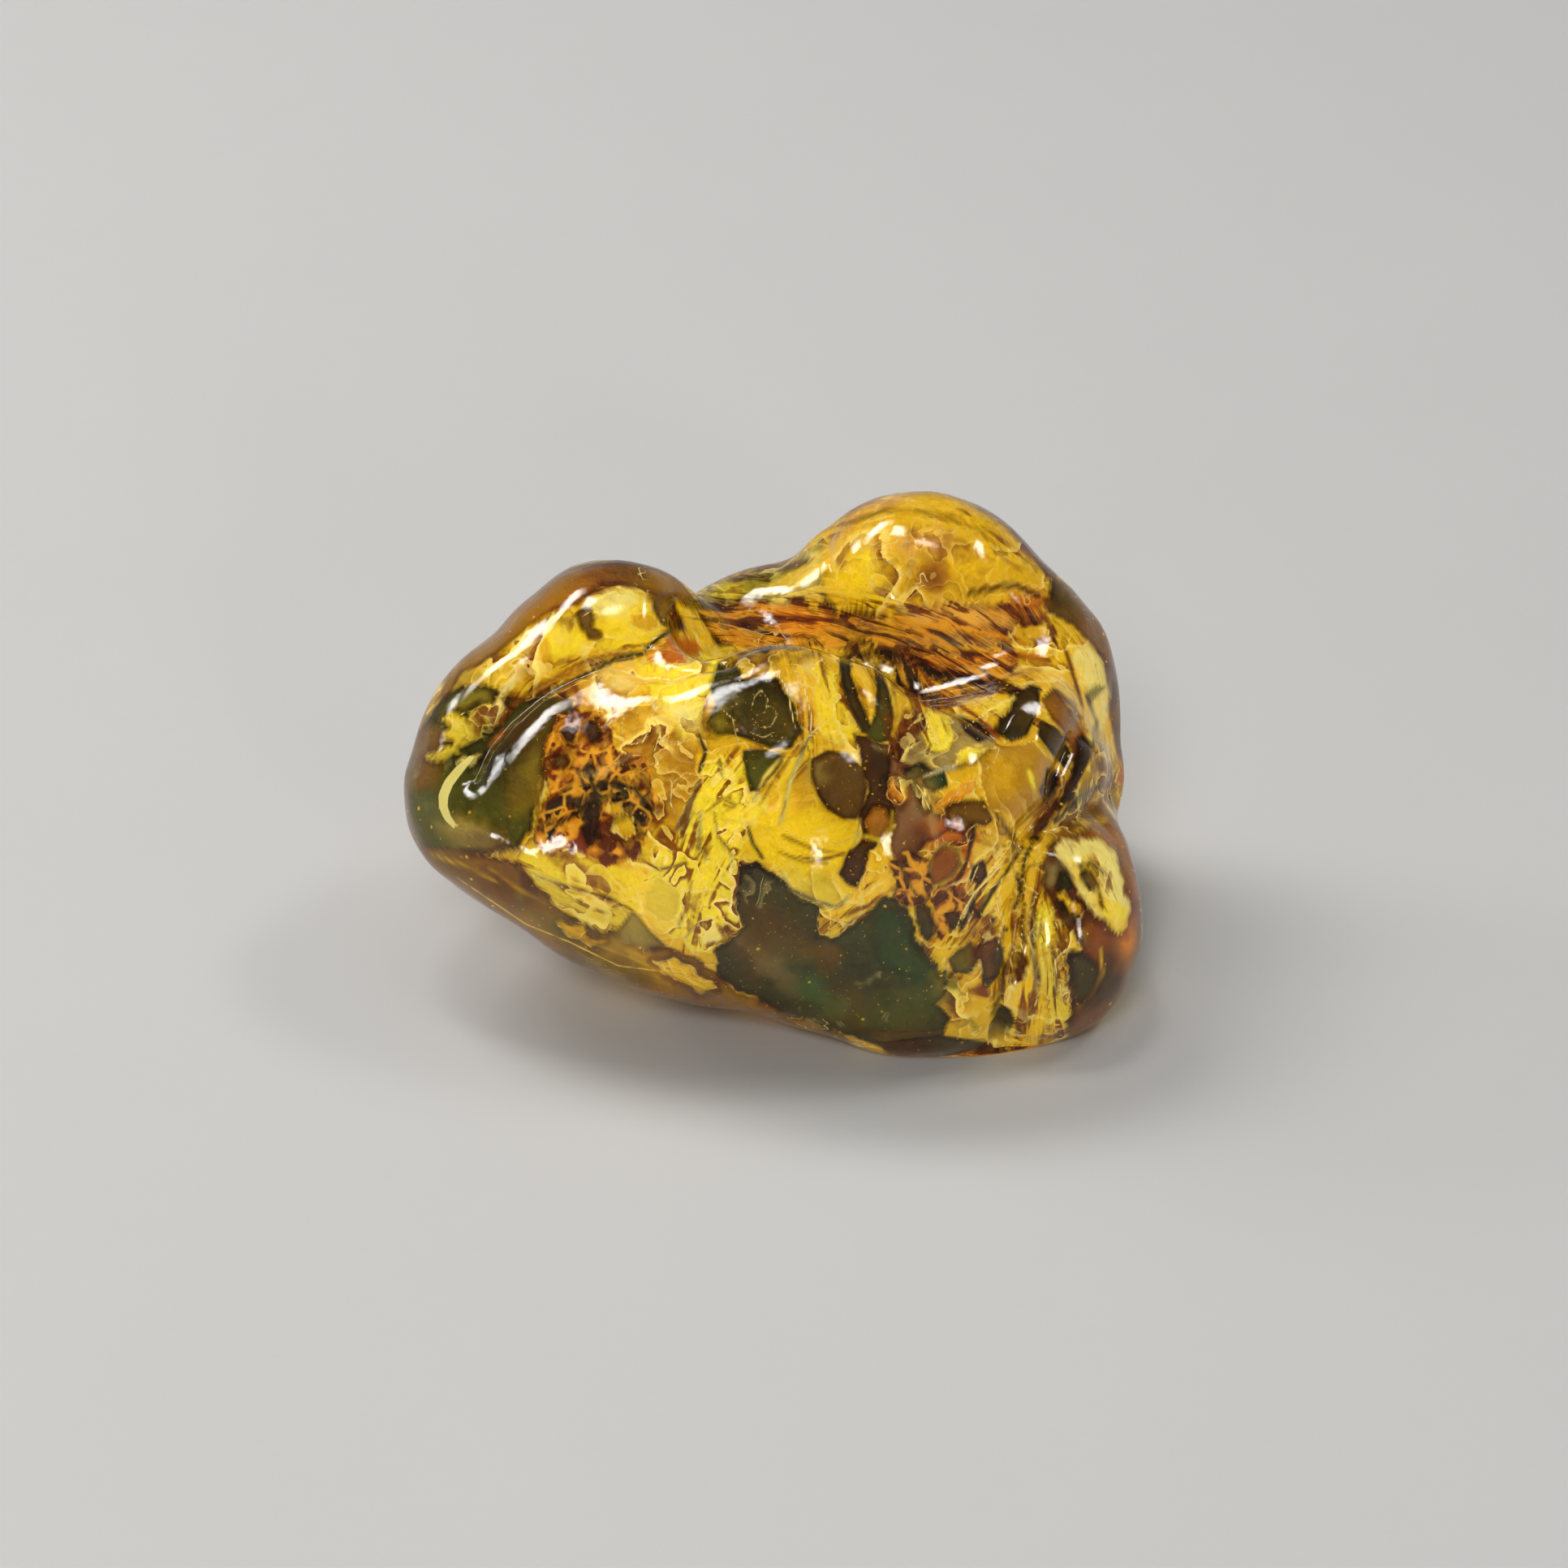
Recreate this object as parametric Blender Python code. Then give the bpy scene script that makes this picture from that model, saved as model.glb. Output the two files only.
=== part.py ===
"""Raw amber piece: one lumpy, polished nugget of clear resin, resting on a small flat underneath.

Millimetres are used for every measurement and turned into metres at the end.  +X is the length of the
nugget, +Z is up and the broad front looks towards -Y.
"""
import bpy
import bmesh
import numpy as np

NAME = "amber_nugget"
MM = 0.001
GRID_CUTS = 27              # cuts across each side of the starting cube
BLEND = 2.2                 # how softly neighbouring lumps run together
HEART = (3.0, 4.0, 12.0)    # the point the starting ball is laid around
REACH = 60.0                # radius of the starting ball
STEPS = 60                  # moves taken to lay the ball on the lumps
STRIDE = 0.8                # share of the measured gap taken by each move
WAVE_HEIGHT = 0.14          # slow waves left all over by hand polishing
WAVE_LENGTH = 9.0
FEEL = 0.05                 # probe distance for finding which way the surface faces

# Every lump: centre and half widths.
LUMPS = {
    "core": ((2, 4, 14), (23, 15, 13.5)),
    "front": ((-1, -5, 15), (22, 11.5, 13.5)),
    "left tip": ((-20, -1, 17.6), (11.3, 9, 8.2)),
    "left wall": ((-20, 4, 21.4), (9.3, 7.5, 8.3)),
    "left hump": ((-13.6, 9.5, 24), (9.4, 8.5, 10.4)),
    "crest": ((-0.5, -0.5, 24.2), (13, 5.2, 8.0)),
    "dome": ((13, 18.5, 26.2), (10.4, 8.5, 9.6)),
    "tail": ((0.5, 20, 20.8), (9, 5.5, 6.2)),
    "upper flank": ((20.6, 14.5, 20.4), (9.6, 8, 9.2)),
    "flank": ((22.5, 8, 14), (8, 8, 8.5)),
    "lobe": ((24.4, -5, 8.6), (7.5, 8, 9.4)),
    "cheek": ((15.5, -4, 18.5), (9.0, 6.5, 8.5)),
    "back cheek": ((21, 2, 20.5), (6.5, 5, 6.5)),
    "toe": ((15, -9, 6), (13.5, 7.6, 8)),
    "back": ((-1, 13, 10), (19, 12, 12)),
    "seat": ((0, 5, 8), (14, 11, 9.5)),
}

# Furrows drawn through points in space: points, half width, depth.
FURROWS = {
    "valley": ([(-5, 7.5, 31), (1, 8, 27.5), (7, 6.5, 27), (12, 4.5, 26.5), (17, 3.5, 25)], 3.6, 3.4),
    "valley head": ([(1, 11, 26), (8, 11, 27)], 4.0, 1.2),
    "rear furrow": ([(7, 27, 21), (3, 26, 14), (-3, 22, 7)], 3.2, 1.4),
    "rear dent": ([(-13, 17, 13), (-15, 16, 16)], 4.0, 1.2),
    "left belly": ([(-20, 2, 8), (-12, 4, 3)], 5.0, 1.2),
    "right belly": ([(31, 3, 8), (29, 8, 5)], 3.5, 1.2),
}

# Creases drawn as seen from in front and above: points across and up, half width, depth.
SIGHT_TILT = 35.0           # how far the line of sight slopes down
SIGHT_FROM = 375.7          # how far away the eye is
SIGHT_AT = (1.15, 0.0, 18.9)
CREASES = {
    "shoulder": ([(-5.3, 11.6), (-8.1, 10.8), (-10.2, 10.1), (-12.3, 10.6), (-15.5, 10.8), (-18.6, 9.7),
                  (-21.4, 8.1), (-24.2, 6.0), (-26.3, 3.6), (-27.6, 0.8)], 1.9, 1.7),
    "hump notch": ([(-10.0, 13.9), (-11.6, 12.6), (-12.6, 10.8)], 1.2, 0.6),
    "cheek end": ([(11.5, 9.5), (15.7, 6.9), (19.5, 4.3), (21.3, 4.6)], 1.8, 1.5),
    "right crack": ([(26.5, 4.6), (25.1, 1.1), (24.8, -1.3), (22.3, -4.5), (21.3, -6.6), (20.7, -10.1),
                     (20.2, -15.0), (19.2, -18.5), (18.8, -22.3)], 1.9, 2.4),
    "lobe top": ([(30.0, -0.6), (27.6, -2.0), (25.1, -3.4), (22.3, -4.8)], 1.6, 1.7),
    "tail end": ([(3.1, 21.4), (3.4, 18.6), (4.5, 15.8)], 1.6, 1.0),
    "fold one": ([(13.9, -5.2), (15.0, -10.8), (15.7, -16.4), (16.4, -21.3)], 1.2, 0.5),
    "fold two": ([(23.1, -9.5), (23.5, -14.3), (22.6, -19.6)], 1.2, 0.5),
}


def gapToLump(points, centre, radii):
    """Distance from each point to one lump, close to true near its surface."""
    offset = points - np.array(centre, float)
    radii = np.array(radii, float)
    reach = np.linalg.norm(offset / radii, axis=-1)
    slope = np.linalg.norm(offset / radii ** 2, axis=-1) + 1e-9
    return reach * (reach - 1.0) / slope


def gapToBody(points):
    """Distance to all lumps run together softly."""
    total = np.zeros(len(points))
    for centre, radii in LUMPS.values():
        total += np.exp(-np.clip(gapToLump(points, centre, radii) / BLEND, -60, 60))
    return -BLEND * np.log(total + 1e-300)


def layOnBody(directions):
    """Bring a ball of directions in from outside until it lies on the lumps."""
    heart = np.array(HEART)
    travel = np.full(len(directions), REACH)
    for _ in range(STEPS):
        travel -= np.clip(gapToBody(heart + directions * travel[:, None]) * STRIDE, -3, 8)
    return heart + directions * travel[:, None]


def facing(points):
    """Outward direction of the body at each point, from the change of the gap along each axis."""
    slope = np.zeros_like(points)
    for axis in range(3):
        step = np.zeros(3)
        step[axis] = FEEL
        slope[:, axis] = gapToBody(points + step) - gapToBody(points - step)
    return slope / (np.linalg.norm(slope, axis=1, keepdims=True) + 1e-12)


def gapToPath(points, path):
    """Shortest distance from each point to a line of straight pieces."""
    best = np.full(len(points), 1e9)
    path = np.array(path, float)
    for start, end in zip(path[:-1], path[1:]):
        along = end - start
        share = np.clip((points - start) @ along / (along @ along), 0, 1)
        best = np.minimum(best, np.linalg.norm(points - start - share[:, None] * along, axis=1))
    return best


def sight(points):
    """Across and up position of each point as seen from in front and above, and the way back to the eye."""
    tilt = np.radians(SIGHT_TILT)
    ahead = np.array([0.0, np.cos(tilt), -np.sin(tilt)])
    above = np.array([0.0, np.sin(tilt), np.cos(tilt)])
    eye = np.array(SIGHT_AT) - ahead * SIGHT_FROM
    line = points - eye
    scale = SIGHT_FROM / (line @ ahead)
    flat = np.stack([line[:, 0] * scale, (line @ above) * scale], axis=1)
    return flat, -line / np.linalg.norm(line, axis=1, keepdims=True)


def carve(points):
    """Press furrows, creases and slow waves into the body along the way each point faces."""
    outward = facing(points)
    depth = np.zeros(len(points))
    for path, width, deep in FURROWS.values():
        depth += deep * np.exp(-(gapToPath(points, path) / width) ** 2)
    flat, toEye = sight(points)
    seen = np.clip(np.sum(outward * toEye, axis=1) * 4.0, 0, 1)
    for path, width, deep in CREASES.values():
        depth += deep * seen * np.exp(-gapToPath(flat, path) / width)
    turn = points / WAVE_LENGTH
    wave = np.sin(turn[:, 0] * 6.3 + np.cos(turn[:, 2] * 5.0)) * np.cos(turn[:, 2] * 5.2 + np.sin(turn[:, 1] * 6.0))
    return points - outward * (depth - WAVE_HEIGHT * wave)[:, None]


def setOnGround(points):
    """Flatten what lies under the ground and bring the middle of the nugget over the origin."""
    points[:, 2] = np.maximum(points[:, 2], 0.0)
    middle = (points.min(axis=0) + points.max(axis=0)) / 2
    points[:, :2] -= middle[:2]
    return points


def makeBall():
    """A cube with its sides cut into an even grid; the corner spacing is evened out with the tangent."""
    ball = bmesh.new()
    bmesh.ops.create_cube(ball, size=2.0)
    bmesh.ops.subdivide_edges(ball, edges=ball.edges[:], cuts=GRID_CUTS, use_grid_fill=True)
    corners = np.array([vertex.co[:] for vertex in ball.verts])
    bent = np.tan(corners * np.pi / 4)
    directions = bent / np.linalg.norm(bent, axis=1, keepdims=True)
    return ball, directions


def makeMaterial():
    amber = bpy.data.materials.new("clear amber")
    amber.use_nodes = True
    shader = amber.node_tree.nodes["Principled BSDF"]
    shader.inputs["Base Color"].default_value = (0.62, 0.36, 0.04, 1.0)
    shader.inputs["Roughness"].default_value = 0.08
    shader.inputs["IOR"].default_value = 1.54
    shader.inputs["Transmission Weight"].default_value = 1.0
    return amber


def makeNugget():
    ball, directions = makeBall()
    points = setOnGround(carve(layOnBody(directions)))
    for vertex, place in zip(ball.verts, points * MM):
        vertex.co = place
    bmesh.ops.recalc_face_normals(ball, faces=ball.faces[:])
    mesh = bpy.data.meshes.new(NAME)
    ball.to_mesh(mesh)
    ball.free()
    mesh.materials.append(makeMaterial())
    nugget = bpy.data.objects.new(NAME, mesh)
    group = bpy.data.collections.new("raw amber piece")
    bpy.context.scene.collection.children.link(group)
    group.objects.link(nugget)


for leftover in list(bpy.data.objects):
    bpy.data.objects.remove(leftover, do_unlink=True)
makeNugget()
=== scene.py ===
import bpy
import numpy as np
from mathutils import Matrix, Vector


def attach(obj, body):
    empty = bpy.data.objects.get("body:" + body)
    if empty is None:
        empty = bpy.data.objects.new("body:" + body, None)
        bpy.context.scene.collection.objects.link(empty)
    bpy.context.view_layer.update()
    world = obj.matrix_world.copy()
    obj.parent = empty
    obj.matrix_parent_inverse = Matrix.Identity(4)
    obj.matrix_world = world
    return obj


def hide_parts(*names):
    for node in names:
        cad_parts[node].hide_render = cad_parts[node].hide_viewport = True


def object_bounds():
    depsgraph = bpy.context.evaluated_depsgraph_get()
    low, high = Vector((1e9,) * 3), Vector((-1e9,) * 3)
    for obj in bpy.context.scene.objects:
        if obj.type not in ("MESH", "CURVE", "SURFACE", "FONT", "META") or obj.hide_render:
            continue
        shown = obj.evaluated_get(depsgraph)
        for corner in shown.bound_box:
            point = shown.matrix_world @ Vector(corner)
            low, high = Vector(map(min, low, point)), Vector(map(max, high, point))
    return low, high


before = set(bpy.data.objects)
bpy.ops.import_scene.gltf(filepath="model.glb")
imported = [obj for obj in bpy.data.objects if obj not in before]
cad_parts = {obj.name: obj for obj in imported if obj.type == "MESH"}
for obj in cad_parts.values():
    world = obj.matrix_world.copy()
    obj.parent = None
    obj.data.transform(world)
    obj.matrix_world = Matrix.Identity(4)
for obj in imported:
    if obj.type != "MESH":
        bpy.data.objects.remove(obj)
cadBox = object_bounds()
mm = 0.001
print("frame loaded")

# form of the nugget: the same lumps, furrows and creases as its solid, in millimetres
form = {
    "grid": 125,              # squares along each side of the cube that the ball is made from
    "crowding": 0.55,         # how far the squares are drawn towards the eye
    "blend": 2.2,             # how softly lumps run together
    "heart": (3.0, 4.0, 12.0),
    "middle": (0.29, 5.148),  # what the solid was moved by to stand over the origin
    "waveHeight": 0.14,
    "waveLength": 9.0,
    "towardsEye": (0.0, -0.82, 0.57),   # where the squares are finer
    "lumps": {
        "core": ((2, 4, 14), (23, 15, 13.5)),
        "front": ((-1, -5, 15), (22, 11.5, 13.5)),
        "left tip": ((-20, -1, 17.6), (11.3, 9, 8.2)),
        "left wall": ((-20, 4, 21.4), (9.3, 7.5, 8.3)),
        "left hump": ((-13.6, 9.5, 24), (9.4, 8.5, 10.4)),
        "crest": ((-0.5, -0.5, 24.2), (13, 5.2, 8.0)),
        "dome": ((13, 18.5, 26.2), (10.4, 8.5, 9.6)),
        "tail": ((0.5, 20, 20.8), (9, 5.5, 6.2)),
        "upper flank": ((20.6, 14.5, 20.4), (9.6, 8, 9.2)),
        "flank": ((22.5, 8, 14), (8, 8, 8.5)),
        "lobe": ((24.4, -5, 8.6), (7.5, 8, 9.4)),
        "cheek": ((15.5, -4, 18.5), (9.0, 6.5, 8.5)),
        "back cheek": ((21, 2, 20.5), (6.5, 5, 6.5)),
        "toe": ((15, -9, 6), (13.5, 7.6, 8)),
        "back": ((-1, 13, 10), (19, 12, 12)),
        "seat": ((0, 5, 8), (14, 11, 9.5)),
    },
    "furrows": {              # points in space, half width, depth
        "valley": ([(-5, 7.5, 31), (1, 8, 27.5), (7, 6.5, 27), (12, 4.5, 26.5), (17, 3.5, 25)], 3.6, 3.4),
        "valley head": ([(1, 11, 26), (8, 11, 27)], 4.0, 1.2),
        "rear furrow": ([(7, 27, 21), (3, 26, 14), (-3, 22, 7)], 3.2, 1.4),
        "rear dent": ([(-13, 17, 13), (-15, 16, 16)], 4.0, 1.2),
        "left belly": ([(-20, 2, 8), (-12, 4, 3)], 5.0, 1.2),
        "right belly": ([(31, 3, 8), (29, 8, 5)], 3.5, 1.2),
    },
    "creases": {              # seen from in front and above: across, up, half width, depth
        "shoulder": ([(-5.3, 11.6), (-8.1, 10.8), (-10.2, 10.1), (-12.3, 10.6), (-15.5, 10.8), (-18.6, 9.7),
                      (-21.4, 8.1), (-24.2, 6.0), (-26.3, 3.6), (-27.6, 0.8)], 1.9, 1.7),
        "hump notch": ([(-10.0, 13.9), (-11.6, 12.6), (-12.6, 10.8)], 1.2, 0.6),
        "cheek end": ([(11.5, 9.5), (15.7, 6.9), (19.5, 4.3), (21.3, 4.6)], 1.8, 1.5),
        "right crack": ([(26.5, 4.6), (25.1, 1.1), (24.8, -1.3), (22.3, -4.5), (21.3, -6.6), (20.7, -10.1),
                         (20.2, -15.0), (19.2, -18.5), (18.8, -22.3)], 1.9, 2.4),
        "lobe top": ([(30.0, -0.6), (27.6, -2.0), (25.1, -3.4), (22.3, -4.8)], 1.6, 1.7),
        "tail end": ([(3.1, 21.4), (3.4, 18.6), (4.5, 15.8)], 1.6, 1.0),
        "fold one": ([(13.9, -5.2), (15.0, -10.8), (15.7, -16.4), (16.4, -21.3)], 1.2, 0.5),
        "fold two": ([(23.1, -9.5), (23.5, -14.3), (22.6, -19.6)], 1.2, 0.5),
    },
}
sightLine = {"tilt": 35.0, "away": 375.7, "at": (1.15, 0.0, 18.9)}  # the eye in front and above
resinIor = 1.54
outside = -9.0      # stands for far outside an outline, in millimetres


# distance to one lump: k0 * (k0 - 1) / k1, with k0 the offset over the half widths and k1 its slope
def gapToLump(points, centre, radii):
    offset = points - np.array(centre, float)
    radii = np.array(radii, float)
    reach = np.linalg.norm(offset / radii, axis=-1)
    slope = np.linalg.norm(offset / radii ** 2, axis=-1) + 1e-9
    return reach * (reach - 1.0) / slope


# soft union of all lumps: minus blend times the logarithm of the summed exp(-gap / blend)
def gapToBody(points):
    total = np.zeros(len(points))
    for centre, radii in form["lumps"].values():
        total += np.exp(-np.clip(gapToLump(points, centre, radii) / form["blend"], -60, 60))
    return -form["blend"] * np.log(total + 1e-300)


# a ball of directions brought in step by step until every point lies on the lumps
def layOnBody(directions):
    heart = np.array(form["heart"])
    travel = np.full(len(directions), 60.0)
    for _ in range(60):
        travel -= np.clip(gapToBody(heart + directions * travel[:, None]) * 0.8, -3, 8)
    return heart + directions * travel[:, None]


# outward way at each point: change of the gap along each axis, scaled to length one
def facing(points):
    slope = np.zeros_like(points)
    for axis in range(3):
        step = np.zeros(3)
        step[axis] = 0.05
        slope[:, axis] = gapToBody(points + step) - gapToBody(points - step)
    return slope / (np.linalg.norm(slope, axis=1, keepdims=True) + 1e-12)


# shortest distance to a line of straight pieces
def gapToPath(points, path):
    best = np.full(len(points), 1e9)
    path = np.array(path, float)
    for start, end in zip(path[:-1], path[1:]):
        along = end - start
        share = np.clip((points - start) @ along / (along @ along), 0, 1)
        best = np.minimum(best, np.linalg.norm(points - start - share[:, None] * along, axis=1))
    return best


# place of each point across and up as the eye sees it, and the way back to the eye
def sight(points):
    tilt = np.radians(sightLine["tilt"])
    ahead = np.array([0.0, np.cos(tilt), -np.sin(tilt)])
    above = np.array([0.0, np.sin(tilt), np.cos(tilt)])
    line = points - (np.array(sightLine["at"]) - ahead * sightLine["away"])
    scale = sightLine["away"] / (line @ ahead)
    flat = np.stack([line[:, 0] * scale, (line @ above) * scale], axis=1)
    return flat, -line / np.linalg.norm(line, axis=1, keepdims=True)


# signed distance to a closed outline in the sight plane, positive inside: nearest edge, sign by crossings
def insideOutline(flat, outline):
    corner = np.array(outline, float)
    following = np.roll(corner, -1, axis=0)
    gap = gapToPath(flat, np.vstack([corner, corner[:1]]))
    within = np.zeros(len(flat), bool)
    for (x0, y0), (x1, y1) in zip(corner, following):
        crosses = (y0 > flat[:, 1]) != (y1 > flat[:, 1])
        at = x0 + (flat[:, 1] - y0) * (x1 - x0) / (y1 - y0 + 1e-12)
        within ^= crosses & (flat[:, 0] < at)
    return np.where(within, gap, -gap)


# six square grids of a cube, bent with the tangent and blown onto a ball; shared rims are merged
def ballGrid(count):
    line = np.tan(np.linspace(-np.pi / 4, np.pi / 4, count + 1))
    u, v = np.meshgrid(line, line, indexing="ij")
    one = np.ones_like(u)
    sides = [(one, u, v), (-one, v, u), (v, one, u), (u, -one, v), (u, v, one), (v, u, -one)]
    places = np.concatenate([np.stack(side, -1).reshape(-1, 3) for side in sides])
    index = np.arange((count + 1) ** 2).reshape(count + 1, count + 1)
    square = np.stack([index[:-1, :-1], index[1:, :-1], index[1:, 1:], index[:-1, 1:]], -1).reshape(-1, 4)
    squares = np.concatenate([square + k * (count + 1) ** 2 for k in range(6)])
    _, first, back = np.unique(np.round(places * 1e5).astype(np.int64), axis=0, return_index=True,
                               return_inverse=True)
    places = places[first]
    return places / np.linalg.norm(places, axis=1, keepdims=True), back.ravel()[squares]


# value noise: a random number at each corner of a box grid, blended smoothly between corners
def mottle(points, cell, seed=0):
    place = points / cell
    base = np.floor(place).astype(np.int64)
    share = place - base
    share = share * share * (3 - 2 * share)
    total = np.zeros(len(points))
    for dx in (0, 1):
        for dy in (0, 1):
            for dz in (0, 1):
                key = ((base[:, 0] + dx) * 73856093) ^ ((base[:, 1] + dy) * 19349663) ^ (
                    (base[:, 2] + dz) * 83492791) ^ (seed * 2654435761)
                key = (key ^ (key >> 13)) * 1274126177 & 0xFFFFFFFF
                key = (key ^ (key >> 16)) * 2246822519 & 0xFFFFFFFF
                chance = ((key ^ (key >> 13)) & 0xFFFFFF) / 0xFFFFFF
                total += chance * (share[:, 0] if dx else 1 - share[:, 0]) * (
                    share[:, 1] if dy else 1 - share[:, 1]) * (share[:, 2] if dz else 1 - share[:, 2])
    return total


# several sizes of mottle added together, each half as strong as the one before
def rough(points, cell, seed=0, sizes=4):
    total = np.zeros(len(points))
    for k in range(sizes):
        total += mottle(points + 17.3 * k, cell / 2 ** k, seed + k) / 2 ** k
    return total / (2 - 2 ** (1 - sizes))


# folded noise: sharp ridges where the noise crosses its middle
def folded(points, cell, seed=0, sizes=3):
    total = np.zeros(len(points))
    for k in range(sizes):
        total += (1 - np.abs(2 * mottle(points + 9.1 * k, cell / 2 ** k, seed + k) - 1)) ** 2 / 2 ** k
    return total / (2 - 2 ** (1 - sizes))


def soft(value, low, high):  # smooth step from 0 at low to 1 at high
    share = np.clip((value - low) / (high - low), 0, 1)
    return share * share * (3 - 2 * share)


# a piece from corners in mm and faces by corner number; marks are named values at its corners
def makeMesh(name, points, faces, material, smooth=True, marks=None):
    mesh = bpy.data.meshes.new(name)
    sides = faces.shape[1]
    mesh.vertices.add(len(points))
    mesh.vertices.foreach_set("co", (points * mm).astype(np.float32).ravel())
    mesh.loops.add(len(faces) * sides)
    mesh.loops.foreach_set("vertex_index", faces.astype(np.int32).ravel())
    mesh.polygons.add(len(faces))
    mesh.polygons.foreach_set("loop_start", np.arange(0, len(faces) * sides, sides, dtype=np.int32))
    mesh.polygons.foreach_set("use_smooth", np.full(len(faces), smooth))
    mesh.update(calc_edges=True)
    for key, values in (marks or {}).items():
        if values.ndim == 1:
            mesh.attributes.new(key, "FLOAT", "POINT").data.foreach_set("value", values.astype(np.float32))
        else:
            mesh.attributes.new(key, "FLOAT_VECTOR", "POINT").data.foreach_set(
                "vector", values.astype(np.float32).ravel())
    mesh.validate()
    mesh.materials.append(material)
    piece = bpy.data.objects.new(name, mesh)
    bpy.context.scene.collection.objects.link(piece)
    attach(piece, "root")
    return piece


# a socket that takes part in arithmetic: each sign adds a Math node
class Wire:
    def __init__(self, tree, socket):
        self.tree = tree
        self.socket = socket

    def node(self, kind, settings=None, **values):
        made = self.tree.nodes.new(kind)
        for key, value in (settings or {}).items():
            setattr(made, key, value)
        for key, value in values.items():
            socket = made.inputs[int(key[1:])] if key[0] == "i" and key[1:].isdigit() else made.inputs[
                key.replace("_", " ")]
            if isinstance(value, Wire):
                self.tree.links.new(value.socket, socket)
            else:
                socket.default_value = value
        return made

    def maths(self, operation, other=0.0, swap=False):
        pair = (other, self) if swap else (self, other)
        made = self.node("ShaderNodeMath", {"operation": operation}, i0=pair[0], i1=pair[1])
        return Wire(self.tree, made.outputs[0])

    def __add__(self, other):
        return self.maths("ADD", other)

    def __radd__(self, other):
        return self.maths("ADD", other, True)

    def __sub__(self, other):
        return self.maths("SUBTRACT", other)

    def __rsub__(self, other):
        return self.maths("SUBTRACT", other, True)

    def __mul__(self, other):
        return self.maths("MULTIPLY", other)

    def __rmul__(self, other):
        return self.maths("MULTIPLY", other, True)

    def size(self):
        return self.maths("ABSOLUTE")

    def step(self, low, high):  # smooth step from 0 at low to 1 at high
        made = self.node("ShaderNodeMapRange", {"interpolation_type": "SMOOTHSTEP"}, Value=self,
                         From_Min=low, From_Max=high, To_Min=0.0, To_Max=1.0)
        return Wire(self.tree, made.outputs[0])


# a material with its shader, and short ways to patterns, mixes and relief
class Paint:
    def __init__(self, name):
        self.material = bpy.data.materials.new(name)
        self.material.use_nodes = True
        self.tree = self.material.node_tree
        self.shader = self.tree.nodes["Principled BSDF"]
        self.output = self.tree.nodes["Material Output"]
        place = self.tree.nodes.new("ShaderNodeTexCoord")
        self.place = Wire(self.tree, place.outputs["Object"])

    def mark(self, name, vector=False):
        made = self.place.node("ShaderNodeAttribute", {"attribute_name": name})
        return Wire(self.tree, made.outputs["Vector" if vector else "Fac"])

    def noise(self, scale, detail=4.0, place=None, lacunarity=2.0, distortion=0.0, colour=False):
        place = place or self.place
        made = place.node("ShaderNodeTexNoise", {"noise_dimensions": "3D"}, Vector=place, Scale=scale,
                          Detail=detail, Lacunarity=lacunarity, Distortion=distortion)
        return Wire(self.tree, made.outputs["Color" if colour else 0])

    def cells(self, scale, feature="F1", place=None, out="Distance", randomness=1.0):
        place = place or self.place
        made = place.node("ShaderNodeTexVoronoi", {"feature": feature}, Vector=place, Scale=scale,
                          Randomness=randomness)
        return Wire(self.tree, made.outputs[out])

    def bend(self, scale, amount, place=None):  # place pushed about by a coloured noise
        place = place or self.place
        colour = self.noise(scale, 2.0, place, colour=True)
        made = place.node("ShaderNodeVectorMath", {"operation": "MULTIPLY_ADD"}, i0=colour,
                          i1=(amount, amount, amount), i2=place)
        return Wire(self.tree, made.outputs[0])

    def mix(self, share, first, second):
        made = self.tree.nodes.new("ShaderNodeMix")
        made.data_type = "RGBA"
        for index, value in ((0, share), (6, first), (7, second)):
            if isinstance(value, Wire):
                self.tree.links.new(value.socket, made.inputs[index])
            else:
                made.inputs[index].default_value = value if index == 0 else (*value, 1.0)
        return Wire(self.tree, made.outputs[2])

    def tinted(self, colour, by):  # colour times a fixed colour
        made = colour.node("ShaderNodeVectorMath", {"operation": "MULTIPLY"}, i0=colour, i1=by)
        return Wire(self.tree, made.outputs[0])

    def bump(self, height, distance, strength=1.0):
        made = self.place.node("ShaderNodeBump", None, Height=height, Distance=distance, Strength=strength)
        self.tree.links.new(made.outputs[0], self.shader.inputs["Normal"])

    def put(self, **values):
        for key, value in values.items():
            socket = self.shader.inputs[key.replace("_", " ")]
            if isinstance(value, Wire):
                self.tree.links.new(value.socket, socket)
            else:
                socket.default_value = value


# the shared ball, its facing and its folds
# facing of a mesh: the cross products of its squares' diagonals, summed at corners
def facesOut(points, squares):
    across = points[squares[:, 2]] - points[squares[:, 0]]
    up = points[squares[:, 3]] - points[squares[:, 1]]
    cross = np.cross(across, up)
    total = np.zeros_like(points)
    for corner in range(4):
        for axis in range(3):
            total[:, axis] += np.bincount(squares[:, corner], cross[:, axis], len(points))
    return total / (np.linalg.norm(total, axis=1, keepdims=True) + 1e-12)


# way that light from the eye takes inside: Snell's law, with its sideways part fading on faces turned away
def bentIn(outward, toEye, ior):
    facingEye = np.sum(outward * toEye, axis=1, keepdims=True)
    sideways = (outward * facingEye - toEye) / ior
    sideways *= np.clip(1.0 + facingEye * 2.5, 0, 1)
    return sideways - outward * np.sqrt(np.clip(1 - np.sum(sideways ** 2, axis=1, keepdims=True), 0, 1))


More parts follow.
